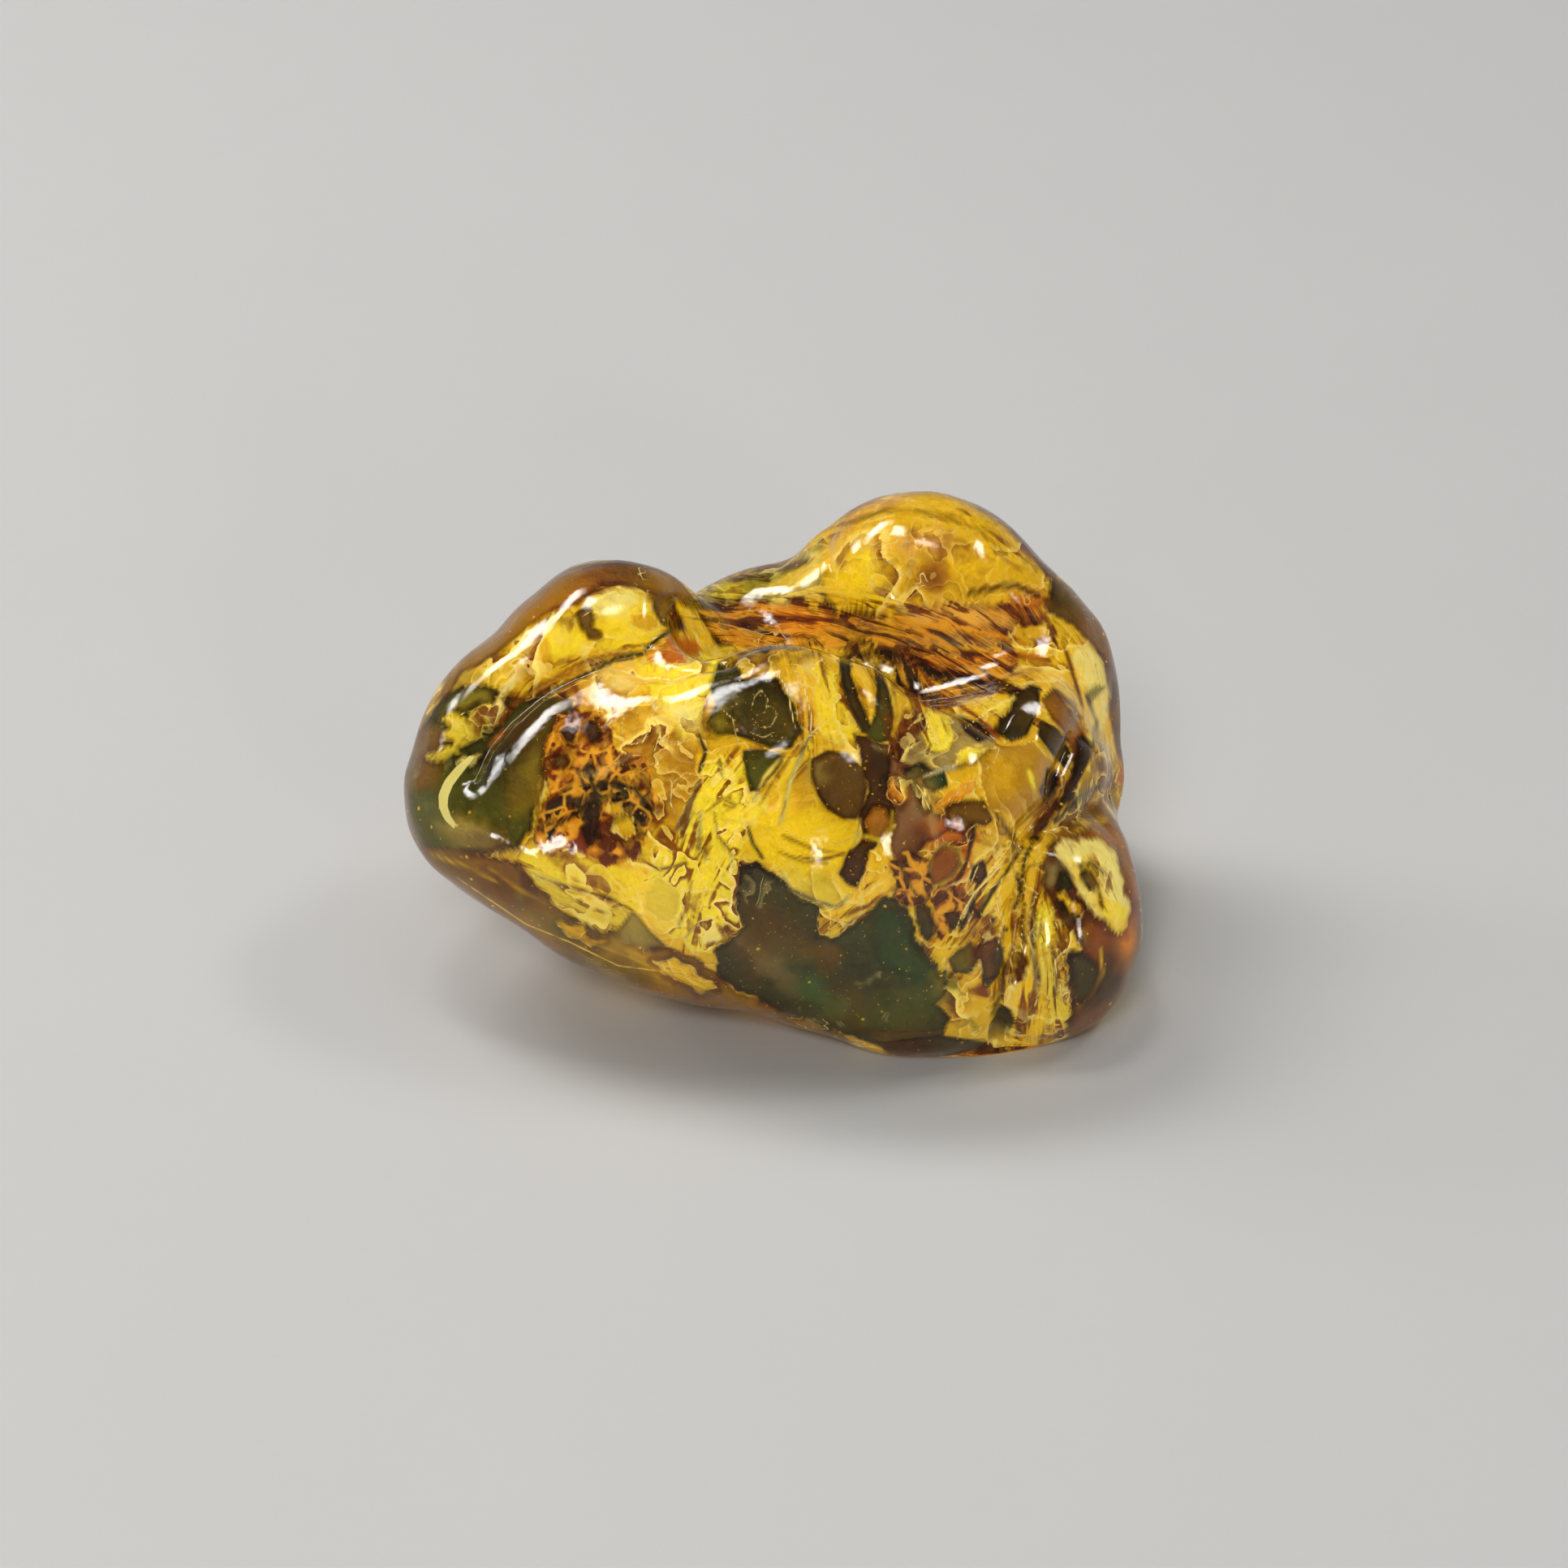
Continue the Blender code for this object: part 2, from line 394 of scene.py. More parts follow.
directions, squares = ballGrid(form["grid"])
directions += form["crowding"] * np.array(form["towardsEye"])
directions /= np.linalg.norm(directions, axis=1, keepdims=True)
body = layOnBody(directions)
outward = facing(body)
flat, toEye = sight(body)
seen = np.clip(np.sum(outward * toEye, axis=1) * 4.0, 0, 1)
sunk = np.zeros(len(body))
for path, width, deep in form["furrows"].values():
    sunk += deep * np.exp(-(gapToPath(body, path) / width) ** 2)
for path, width, deep in form["creases"].values():
    sunk += deep * seen * np.exp(-gapToPath(flat, path) / width)
turn = body / form["waveLength"]
sunk -= form["waveHeight"] * np.sin(turn[:, 0] * 6.3 + np.cos(turn[:, 2] * 5.0)) * np.cos(
    turn[:, 2] * 5.2 + np.sin(turn[:, 1] * 6.0))
surface = body - outward * sunk[:, None]
surface[:, 2] = np.maximum(surface[:, 2], 0.0)
outward = facesOut(surface, squares)
flat, toEye = sight(surface)
facingEye = np.sum(outward * toEye, axis=1)
seen = np.clip(facingEye * 5.0 + 0.4, 0, 1)
inward = bentIn(outward, toEye, resinIor)
print("form laid", surface.min(0), surface.max(0))


# a layer of the nugget at a depth below its skin, kept clear of the ground and inside the solid's box
def layer(depth, groundGap=0.0):
    points = surface + inward * np.asarray(depth)[:, None]
    points[:, 2] = np.maximum(points[:, 2], groundGap)
    points[:, :2] -= np.array(form["middle"])
    return np.clip(points, np.array(cadBox[0]) / mm + 0.02 + groundGap * np.array([0, 0, 1]),
                   np.array(cadBox[1]) / mm - 0.02)


# evens out a value over neighbouring corners, by a share at each corner, some rounds
def eased(values, share, rounds):
    values = np.array(values, float)
    flatShape = values.reshape(len(values), -1)
    count = np.bincount(squares.ravel(), minlength=len(values)) * 4.0
    for _ in range(rounds):
        for column in range(flatShape.shape[1]):
            sums = flatShape[squares, column].sum(axis=1)
            mean = np.bincount(squares.ravel(), np.repeat(sums, 4), len(values)) / count
            flatShape[:, column] += (mean - flatShape[:, column]) * share
    return flatShape.reshape(values.shape)


# clear skin of the nugget
skin = {
    "tint": (1.0, 0.985, 0.95),
    "cloudTint": (0.98, 0.95, 0.88),
    "roughness": 0.012,
    "ripples": 260.0,                  # faint waves of the polish, to a metre
    "rippleHeight": 0.0007,
    "rippleStrength": 0.16,
    "absorbs": (0.965, 0.86, 0.37),    # share of light left after the distance below
    "distance": 4.0,                   # millimetres
}
clear = Paint("clear amber")
cloud = clear.noise(120.0, 3.0)
clear.put(Base_Color=clear.mix(cloud.step(0.35, 0.7), skin["tint"], skin["cloudTint"]),
          Roughness=skin["roughness"], IOR=resinIor, Transmission_Weight=1.0)
clear.bump(clear.noise(skin["ripples"], 3.0), skin["rippleHeight"], skin["rippleStrength"])
absorb = clear.tree.nodes.new("ShaderNodeVolumeAbsorption")
left = np.array(skin["absorbs"])
loss = -np.log(left) / (skin["distance"] * mm)   # per metre
absorb.inputs["Density"].default_value = float(loss.max())
absorb.inputs["Color"].default_value = (*(1.0 - loss / loss.max()), 1.0)
clear.tree.links.new(absorb.outputs[0], clear.output.inputs["Volume"])
skinPoints = layer(np.zeros(len(body)))
shell = makeMesh("amber_skin", skinPoints, squares, clear.material)
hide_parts("amber_nugget")
print("skin made")

# layered resin below the skin: clear windows, milky leaves, crust and fibres
# each patch lies over those before it
tones = {       # as they look through the skin: red, green, blue of 255
    "moss": (52, 56, 20), "cola": (66, 42, 4), "bronze": (152, 104, 12), "syrup": (116, 80, 8),
    "ember": (190, 98, 8), "olive": (106, 96, 18), "drab": (86, 58, 8), "night": (34, 32, 10),
    "haze": (122, 106, 50), "bark": (88, 54, 5), "umber": (46, 22, 4), "soot": (32, 14, 4),
    "amber": (134, 80, 6), "murk": (40, 37, 18), "slate": (92, 78, 58), "teal": (52, 82, 64),
    "pine": (28, 50, 38), "brown": (96, 46, 6), "wine": (98, 46, 4), "rust": (158, 76, 6),
    "orange": (214, 118, 10), "mauve": (118, 80, 56), "ash": (126, 106, 62), "honey": (190, 134, 10),
    "ochre": (202, 147, 14), "gold": (230, 164, 10), "golden": (236, 180, 12), "yellow": (244, 195, 26),
    "bright": (254, 211, 40), "straw": (206, 172, 40), "pale": (244, 220, 112), "cream": (226, 190, 108),
    "peach": (216, 146, 62), "tan": (206, 156, 88), "white": (255, 246, 206),
}
patches = [                  # kind, tone, depth, crumple, outline on the sheet
    # tip and left side
    ("clear", "moss", 3.2, 0.6, [492, 1005, 494, 950, 505, 912, 530, 880, 552, 850, 600, 845, 640, 862,
        700, 858, 712, 880, 690, 900, 672, 930, 668, 970, 657, 1000, 652, 1022, 640, 1042, 600, 1052,
        560, 1050, 520, 1046, 500, 1025]),
    ("tint", "olive", 3, 0, [655, 925, 672, 930, 668, 970, 655, 994, 638, 1000, 625, 980, 640, 948]),
    ("tint", "drab", 2.5, 0, [498, 925, 518, 893, 545, 888, 562, 922, 547, 945, 538, 968, 508, 968]),
    ("tint", "night", 4, 0, [598, 935, 640, 885, 665, 880, 650, 915, 615, 960, 590, 965]),
    ("tint", "haze", 1.6, 0, [530, 1012, 565, 1006, 600, 1008, 630, 1036, 645, 1050, 600, 1052, 560,
        1042, 535, 1030]),
    ("clear", "syrup", 2, 0.6, [494, 1030, 530, 1044, 600, 1055, 640, 1065, 665, 1085, 680, 1112, 700,
        1128, 725, 1138, 760, 1150, 800, 1160, 840, 1172, 880, 1195, 910, 1222, 960, 1240, 1040, 1275,
        1060, 1310, 900, 1280, 800, 1250, 700, 1200, 600, 1140, 500, 1090]),
    ("tint", "bark", 2.2, 0, [515, 1048, 600, 1062, 645, 1078, 665, 1110, 640, 1125, 590, 1105, 530, 1075]),
    ("tint", "olive", 1.5, 0, [690, 1130, 740, 1145, 800, 1165, 860, 1190, 900, 1225, 850, 1210, 780,
        1185, 710, 1160]),
    ("clear", "syrup", 1.6, 0.5, [535, 865, 560, 815, 600, 775, 650, 725, 700, 700, 760, 690, 820, 700,
        862, 745, 890, 790, 868, 798, 845, 760, 818, 738, 780, 722, 742, 722, 715, 742, 680, 752, 640,
        782, 610, 806, 570, 830, 548, 862]),
    ("tint", "amber", 1.8, 0, [640, 765, 680, 735, 705, 712, 745, 705, 760, 715, 735, 725, 712, 745, 680,
        755, 655, 775]),
    ("tint", "haze", 1.2, 0, [553, 855, 575, 832, 612, 815, 625, 822, 600, 838, 575, 848]),
    ("tint", "olive", 1.2, 0, [540, 880, 560, 862, 590, 848, 612, 850, 604, 868, 575, 878]),
    ("leaf", "straw", 0.8, 0.3, [541, 884, 553, 898, 545, 908, 548, 917, 565, 922, 576, 916, 592, 905,
        603, 885, 609, 866, 592, 869, 575, 877, 555, 881]),
    ("leaf", "straw", 0.7, 0.3, [526, 931, 545, 924, 562, 920, 578, 924, 562, 934, 540, 939]),
    ("leaf", "pale", 0.6, 0, [560, 942, 574, 931, 592, 930, 582, 943]),
    ("leaf", "cream", 0.8, 0.2, [598, 908, 606, 868, 612, 850, 626, 834, 642, 812, 660, 796, 644, 835,
        628, 850, 622, 862, 628, 870, 614, 886]),
    ("tint", "honey", 1, 0.2, [624, 864, 640, 832, 656, 800, 682, 778, 702, 788, 692, 812, 668, 836, 642,
        860, 632, 870]),
    ("leaf", "yellow", 0.9, 0.2, [675, 802, 664, 782, 682, 764, 705, 756, 720, 744, 742, 730, 768, 725,
        794, 735, 806, 750, 813, 775, 806, 790, 780, 797, 750, 800, 725, 800, 702, 808, 685, 816]),
    ("tint", "pale", 0.8, 0, [728, 742, 748, 730, 775, 727, 798, 741, 782, 752, 745, 756]),
    ("clear", "drab", 1.6, 0, [709, 758, 722, 744, 734, 760, 730, 772, 743, 780, 740, 789, 725, 787, 716,
        772]),
    ("leaf", "honey", 0.8, 0, [776, 756, 790, 748, 806, 756, 810, 770, 796, 778, 780, 772]),
    ("clear", "drab", 1.6, 0, [800, 733, 830, 736, 850, 762, 840, 776, 816, 770, 806, 752]),
    ("leaf", "rust", 0.9, 0.2, [796, 806, 828, 782, 868, 798, 846, 815, 820, 819, 800, 816]),
    ("leaf", "gold", 0.9, 0.2, [834, 740, 862, 760, 884, 797, 866, 798, 846, 768, 830, 752]),
    ("clear", "umber", 2, 0, [850, 735, 878, 745, 905, 775, 905, 795, 885, 797, 866, 765]),
    # front face, left
    ("tint", "amber", 2.2, 0, [688, 852, 720, 828, 768, 843, 776, 868, 772, 890, 742, 880, 715, 876, 700,
        864]),
    # painted reflection: a pale cream haze on the upper front face
    ("tint", "cream", 1.2, 0, [738, 822, 772, 812, 794, 830, 776, 852, 748, 858]),
    ("leaf", "bright", 0.7, 0.4, [780, 812, 830, 822, 870, 808, 890, 812, 880, 835, 870, 862, 862, 886,
        850, 908, 838, 920, 826, 905, 812, 872, 800, 850, 784, 832]),
    ("tint", "pale", 0.6, 0, [822, 866, 856, 858, 862, 884, 846, 912, 830, 895]),
    ("tint", "bronze", 1.1, 0.15, [757, 884, 772, 858, 802, 866, 850, 912, 872, 940, 862, 980, 846, 1000,
        822, 1022, 810, 1000, 805, 960, 780, 930, 760, 912]),
    ("clear", "moss", 2.8, 0.4, [885, 816, 902, 812, 912, 830, 897, 852, 884, 872, 876, 850]),
    ("crust", "ember", 0.9, 0.5, [678, 900, 690, 880, 710, 873, 738, 880, 756, 900, 760, 925, 792, 940,
        798, 960, 812, 980, 806, 1005, 794, 1022, 788, 1055, 765, 1068, 740, 1060, 718, 1050, 692, 1045,
        668, 1050, 656, 1030, 664, 1008, 680, 988, 672, 960, 670, 930]),
    ("crust", "umber", 1.2, 0.4, [703, 952, 722, 938, 742, 953, 748, 970, 772, 962, 798, 975, 802, 1000,
        796, 1030, 784, 1022, 770, 1000, 746, 985, 737, 1000, 742, 1032, 728, 1042, 714, 1020, 718, 1002,
        702, 990, 690, 1010, 676, 1032, 664, 1020, 682, 990, 698, 975]),
    ("tint", "slate", 0.8, 0.3, [706, 950, 720, 938, 738, 948, 736, 964, 716, 968]),
    ("leaf", "honey", 0.7, 0, [742, 994, 752, 984, 766, 988, 768, 1002, 756, 1008, 744, 1004]),
    ("leaf", "ochre", 0.7, 0, [752, 1014, 764, 1004, 780, 1010, 784, 1026, 770, 1034, 756, 1028]),
    ("leaf", "yellow", 0.9, 0.25, [652, 1046, 700, 1050, 745, 1070, 782, 1070, 790, 1040, 806, 1050, 792,
        1100, 786, 1125, 770, 1115, 740, 1100, 700, 1090, 665, 1081, 638, 1064]),
    ("leaf", "straw", 1, 0.2, [640, 1068, 665, 1084, 690, 1096, 730, 1108, 765, 1118, 776, 1128, 766,
        1145, 740, 1148, 725, 1136, 700, 1122, 685, 1115, 670, 1096, 655, 1082]),
    ("clear", "haze", 1.5, 0, [780, 1122, 800, 1146, 822, 1166, 790, 1172, 758, 1152]),
    ("leaf", "gold", 0.9, 0.5, [862, 935, 885, 925, 905, 940, 916, 930, 924, 960, 922, 1000, 962, 1002,
        960, 1062, 912, 1060, 860, 1040]),
    ("leaf", "bright", 0.7, 1, [862, 968, 870, 942, 885, 932, 900, 947, 914, 937, 921, 958, 917, 985,
        922, 1010, 918, 1050, 912, 1064, 908, 1082, 903, 1110, 908, 1128, 917, 1139, 900, 1150, 880,
        1160, 878, 1182, 850, 1172, 838, 1158, 815, 1149, 798, 1131, 788, 1124, 792, 1085, 812, 1052,
        832, 1034, 846, 1000, 856, 982]),
    ("leaf", "straw", 0.5, 0, [798, 1095, 812, 1078, 828, 1090, 838, 1110, 832, 1132, 812, 1136, 798,
        1118]),
    ("tint", "pale", 0.6, 0.2, [850, 1160, 868, 1146, 888, 1136, 902, 1142, 884, 1160, 862, 1168]),
    # front face, middle
    ("clear", "night", 3.4, 0.35, [892, 850, 905, 836, 956, 836, 970, 846, 978, 872, 988, 897, 976, 922,
        950, 922, 928, 914, 905, 905, 884, 905, 872, 890]),
    ("tint", "olive", 2.4, 0, [872, 888, 893, 862, 906, 875, 905, 902, 884, 905]),
    ("clear", "moss", 2.8, 0.4, [916, 926, 945, 924, 968, 930, 956, 950, 942, 970, 926, 978, 918, 955]),
    ("leaf", "honey", 0.8, 0.2, [952, 818, 985, 820, 1000, 850, 1006, 902, 986, 897, 974, 860]),
    ("leaf", "yellow", 0.7, 0.3, [1000, 816, 1016, 805, 1032, 840, 1046, 880, 1062, 916, 1034, 916, 1014,
        902, 1004, 870]),
    ("tint", "cream", 0.6, 0, [986, 822, 996, 812, 1012, 812, 1008, 832, 994, 834]),
    ("clear", "night", 2.4, 0, [1034, 812, 1052, 803, 1047, 830, 1062, 870, 1078, 907, 1062, 902, 1046,
        870, 1037, 840]),
    ("leaf", "honey", 0.8, 0.2, [1050, 812, 1074, 806, 1081, 840, 1080, 882, 1065, 872, 1055, 850]),
    ("clear", "moss", 2.4, 0, [1078, 818, 1086, 828, 1096, 855, 1101, 885, 1096, 912, 1080, 916, 1068,
        906, 1079, 880, 1081, 850]),
    ("tint", "bark", 1.6, 0, [903, 799, 950, 806, 1000, 804, 1002, 815, 950, 816, 918, 815]),
    ("leaf", "golden", 0.8, 0.05, [962, 962, 980, 930, 1000, 908, 1003, 940, 1005, 965, 1012, 985, 1026,
        1000, 1046, 1009, 1061, 1010, 1058, 1030, 1051, 1046, 1040, 1058, 1038, 1066, 1032, 1076, 1040,
        1087, 1056, 1090, 1046, 1106, 1026, 1119, 1002, 1110, 985, 1106, 974, 1096, 964, 1078, 954, 1066,
        944, 1058, 930, 1062, 918, 1050, 918, 1015, 945, 1000, 958, 998]),
    ("tint", "honey", 0.8, 0, [974, 960, 996, 930, 1002, 965, 1014, 990, 1004, 1002, 985, 1000, 970, 990]),
    ("tint", "straw", 1.1, 0, [956, 1070, 1000, 1068, 1030, 1076, 1048, 1100, 1025, 1118, 985, 1106, 968,
        1088]),
    ("leaf", "bright", 0.5, 0.6, [918, 988, 930, 976, 945, 984, 946, 1000, 932, 1016, 918, 1012]),
    ("clear", "umber", 2, 0.7, [1052, 905, 1102, 922, 1107, 960, 1102, 1010, 1086, 1036, 1064, 1032,
        1058, 1008, 1070, 975, 1062, 940]),
    ("tint", "soot", 2.2, 0, [1072, 926, 1100, 926, 1104, 960, 1086, 968, 1072, 950]),
    ("clear", "cola", 1.6, 0, [1000, 936, 1020, 925, 1045, 930, 1062, 946, 1069, 970, 1063, 996, 1055,
        1009, 1040, 1009, 1020, 998, 1008, 980, 1000, 956]),
    ("tint", "haze", 1.2, 0, [1001, 938, 1014, 929, 1024, 936, 1016, 956, 1004, 962]),
    ("clear", "amber", 1, 0, [1064, 1012, 1076, 994, 1092, 996, 1099, 1012, 1090, 1032, 1072, 1032]),
    ("clear", "umber", 2.2, 0.6, [1046, 1048, 1062, 1034, 1088, 1040, 1076, 1062, 1062, 1084, 1058, 1092,
        1042, 1088, 1033, 1077, 1040, 1062]),
    ("leaf", "gold", 0.7, 0.8, [1064, 1084, 1074, 1052, 1086, 1041, 1102, 1044, 1097, 1070, 1082, 1096,
        1062, 1106]),
    ("leaf", "gold", 0.7, 0.9, [1034, 1122, 1060, 1110, 1084, 1088, 1103, 1084, 1102, 1102, 1080, 1117,
        1052, 1131, 1038, 1152, 1018, 1154, 1028, 1136]),
    ("leaf", "honey", 1, 0.8, [1000, 1128, 1022, 1122, 1030, 1136, 1018, 1154, 1008, 1146]),
    # great window
    ("clear", "murk", 3.6, 0.9, [912, 1064, 930, 1062, 945, 1067, 956, 1076, 970, 1096, 985, 1108, 1010,
        1120, 1002, 1132, 1010, 1152, 1026, 1156, 1050, 1141, 1070, 1121, 1090, 1106, 1106, 1105, 1120,
        1120, 1130, 1150, 1145, 1176, 1166, 1196, 1160, 1216, 1150, 1240, 1172, 1256, 1160, 1276, 1100,
        1296, 1040, 1274, 970, 1248, 920, 1227, 884, 1202, 876, 1174, 900, 1156, 917, 1140, 904, 1115,
        909, 1090]),
    ("tint", "slate", 3.2, 0, [893, 1140, 930, 1163, 962, 1183, 990, 1205, 978, 1222, 940, 1197, 903,
        1168]),
    ("tint", "bark", 4, 0, [968, 1143, 1000, 1158, 1032, 1158, 1038, 1186, 1010, 1196, 985, 1172]),
    ("tint", "teal", 4.2, 0, [983, 1193, 1012, 1208, 1042, 1224, 1048, 1250, 1032, 1260, 1004, 1237, 984,
        1216]),
    ("tint", "pine", 4.4, 0, [1088, 1112, 1116, 1125, 1132, 1160, 1152, 1190, 1148, 1216, 1110, 1216,
        1080, 1182, 1074, 1140]),
    ("tint", "moss", 4, 0, [1048, 1222, 1150, 1218, 1152, 1256, 1100, 1282, 1050, 1262]),
    ("tint", "olive", 2.6, 0, [1154, 1200, 1180, 1184, 1192, 1215, 1190, 1242, 1170, 1242, 1155, 1226]),
    ("leaf", "honey", 1.4, 0, [1192, 1200, 1208, 1192, 1216, 1215, 1204, 1235, 1192, 1226]),
    ("clear", "umber", 2.4, 0, [1080, 1284, 1160, 1276, 1215, 1284, 1232, 1300, 1180, 1310, 1100, 1305]),
    # grey and mauve column
    ("leaf", "ash", 1.2, 0.5, [1106, 934, 1118, 900, 1136, 880, 1182, 878, 1218, 895, 1224, 915, 1202,
        930, 1172, 942, 1150, 955, 1120, 952]),
    ("clear", "mauve", 1.1, 0.8, [1099, 932, 1122, 940, 1132, 965, 1152, 1000, 1182, 1006, 1176, 1022,
        1142, 1036, 1132, 1052, 1110, 1062, 1097, 1040, 1101, 1000, 1096, 960]),
    ("tint", "orange", 0.9, 0.3, [1105, 976, 1118, 968, 1126, 980, 1118, 994, 1106, 990]),
    ("tint", "wine", 1.1, 0.3, [1126, 1022, 1150, 1016, 1154, 1040, 1134, 1054, 1122, 1044]),
    ("crust", "brown", 1.2, 0.4, [1099, 1062, 1122, 1050, 1146, 1060, 1149, 1090, 1142, 1116, 1120, 1122,
        1104, 1106]),
    ("leaf", "bright", 0.7, 0.4, [1138, 886, 1150, 864, 1161, 867, 1169, 880, 1173, 900, 1168, 922, 1155,
        927, 1142, 919, 1135, 901]),
    ("clear", "drab", 2, 0, [1162, 988, 1212, 986, 1224, 1010, 1202, 1032, 1170, 1022]),
    ("clear", "pine", 2.2, 0, [1136, 958, 1164, 950, 1168, 968, 1150, 976, 1138, 970]),
    ("leaf", "orange", 0.7, 0.1, [1151, 991, 1170, 974, 1202, 963, 1196, 981, 1176, 993, 1155, 998]),
    # shoulder, crack and right flank
    ("leaf", "bronze", 1, 0, [1208, 930, 1240, 918, 1270, 916, 1296, 940, 1309, 965, 1301, 987, 1286,
        1002, 1270, 1020, 1254, 1022, 1240, 1002, 1218, 997, 1208, 970]),
    ("tint", "honey", 0.9, 0, [1214, 932, 1236, 924, 1250, 940, 1246, 972, 1226, 985, 1212, 965]),
    ("leaf", "honey", 0.9, 0.5, [1196, 1022, 1240, 1004, 1256, 1022, 1262, 1050, 1240, 1060, 1206, 1060]),
    ("clear", "night", 3, 0, [1244, 850, 1264, 842, 1282, 848, 1277, 880, 1266, 906, 1246, 914, 1224,
        902, 1236, 880, 1246, 864]),
    ("leaf", "straw", 0.8, 0.8, [1192, 848, 1215, 855, 1240, 866, 1252, 857, 1238, 886, 1214, 876, 1200,
        866]),
    ("clear", "amber", 1.6, 0, [1284, 862, 1300, 848, 1322, 880, 1338, 906, 1326, 942, 1311, 902, 1296,
        886]),
    ("clear", "murk", 2.6, 0, [1282, 888, 1304, 900, 1322, 932, 1313, 948, 1294, 926, 1279, 906]),
    ("tint", "gold", 1, 0.4, [1285, 786, 1322, 788, 1336, 850, 1347, 902, 1330, 890, 1300, 840, 1288, 820]),
    ("clear", "bark", 1.3, 0, [1280, 700, 1330, 730, 1365, 775, 1382, 830, 1392, 890, 1397, 950, 1376,
        930, 1366, 870, 1350, 800, 1322, 770, 1288, 752]),
    ("tint", "umber", 2.2, 0, [1284, 712, 1308, 718, 1322, 745, 1300, 755, 1288, 738]),
    ("leaf", "pale", 0.7, 0.4, [1324, 800, 1345, 798, 1362, 828, 1367, 860, 1362, 890, 1352, 927, 1344,
        912, 1339, 880, 1345, 866, 1336, 846, 1326, 830]),
    ("clear", "olive", 1.4, 0, [1336, 856, 1350, 846, 1362, 846, 1352, 858, 1342, 868]),
    ("tint", "drab", 1.8, 0, [1330, 958, 1362, 926, 1380, 952, 1380, 1002, 1332, 1032, 1300, 1036, 1290,
        1026, 1310, 1000]),
    ("leaf", "rust", 0.8, 0, [1374, 936, 1390, 944, 1392, 962, 1374, 962]),
    ("clear", "soot", 2.6, 0.5, [1333, 903, 1346, 915, 1342, 935, 1331, 960, 1319, 986, 1301, 1002, 1291,
        1021, 1281, 1037, 1268, 1037, 1274, 1020, 1290, 995, 1310, 980, 1325, 940, 1327, 910]),
    # lobe
    ("clear", "wine", 1.5, 0.5, [1292, 1040, 1350, 1018, 1386, 1006, 1401, 1050, 1405, 1100, 1407, 1160,
        1398, 1205, 1380, 1240, 1350, 1266, 1318, 1290, 1304, 1270, 1312, 1240, 1300, 1180, 1298, 1120,
        1285, 1095, 1286, 1060]),
    ("tint", "amber", 1.2, 0, [1300, 1036, 1350, 1022, 1384, 1012, 1396, 1050, 1398, 1100, 1376, 1085,
        1360, 1055, 1330, 1036]),
    ("leaf", "pale", 0.7, 0.15, [1294, 1052, 1312, 1036, 1332, 1028, 1352, 1034, 1370, 1052, 1382, 1078,
        1390, 1102, 1396, 1122, 1390, 1140, 1374, 1150, 1360, 1140, 1344, 1126, 1330, 1104, 1322, 1082,
        1308, 1066]),
    ("tint", "gold", 0.9, 0.3, [1322, 1062, 1340, 1050, 1352, 1066, 1364, 1090, 1372, 1118, 1356, 1126,
        1342, 1104, 1330, 1084]),
    ("clear", "drab", 1.2, 0.2, [1330, 1078, 1343, 1072, 1354, 1086, 1350, 1098, 1338, 1094]),
    ("leaf", "bright", 0.7, 0.2, [1359, 1120, 1375, 1108, 1394, 1119, 1391, 1136, 1378, 1154, 1364, 1146,
        1357, 1131]),
    ("tint", "ash", 0.7, 0.1, [1288, 1062, 1302, 1058, 1314, 1072, 1308, 1092, 1292, 1096, 1284, 1084]),
    ("clear", "night", 1.8, 0, [1306, 1072, 1318, 1078, 1322, 1094, 1310, 1104, 1302, 1092]),
    ("clear", "night", 2, 0, [1302, 1108, 1318, 1112, 1330, 1130, 1322, 1142, 1308, 1128]),
    ("tint", "ash", 0.6, 0, [1312, 1126, 1322, 1122, 1338, 1140, 1334, 1162, 1322, 1160, 1314, 1142]),
    ("leaf", "gold", 0.7, 0.3, [1300, 1130, 1313, 1140, 1321, 1160, 1328, 1173, 1312, 1179, 1302, 1161]),
    ("clear", "night", 2.6, 0, [1303, 1168, 1330, 1172, 1348, 1185, 1357, 1200, 1350, 1220, 1335, 1236,
        1320, 1226, 1312, 1205, 1309, 1186]),
    # folds and drapery
    ("leaf", "honey", 1, 0.9, [1150, 1060, 1176, 1040, 1212, 1040, 1262, 1036, 1274, 1060, 1268, 1100,
        1254, 1112, 1230, 1180, 1218, 1232, 1195, 1236, 1168, 1196, 1145, 1168, 1148, 1120]),
    ("clear", "amber", 1.2, 0, [1145, 1062, 1160, 1042, 1179, 1045, 1183, 1066, 1171, 1081, 1150, 1091,
        1144, 1076]),
    ("crust", "rust", 1, 0.6, [1151, 1098, 1196, 1096, 1191, 1121, 1176, 1141, 1160, 1157, 1151, 1136]),
    ("leaf", "gold", 0.7, 0.6, [1224, 1074, 1250, 1058, 1262, 1080, 1252, 1110, 1246, 1141, 1235, 1152,
        1224, 1141, 1221, 1110]),
    ("clear", "murk", 2, 0.5, [1128, 1114, 1146, 1120, 1151, 1150, 1141, 1162, 1130, 1141]),
    ("leaf", "gold", 0.6, 0.8, [1122, 1130, 1132, 1146, 1150, 1162, 1165, 1160, 1181, 1139, 1196, 1112,
        1200, 1122, 1184, 1150, 1174, 1176, 1161, 1197, 1150, 1181, 1134, 1166]),
    ("clear", "olive", 2.2, 0.4, [1168, 1182, 1196, 1160, 1208, 1180, 1196, 1200, 1176, 1200]),
    ("clear", "umber", 1.8, 0.5, [1204, 1166, 1226, 1153, 1237, 1170, 1229, 1202, 1215, 1218, 1209, 1191]),
    ("leaf", "ochre", 0.8, 0.7, [1256, 1106, 1288, 1098, 1300, 1128, 1312, 1160, 1322, 1240, 1312, 1276,
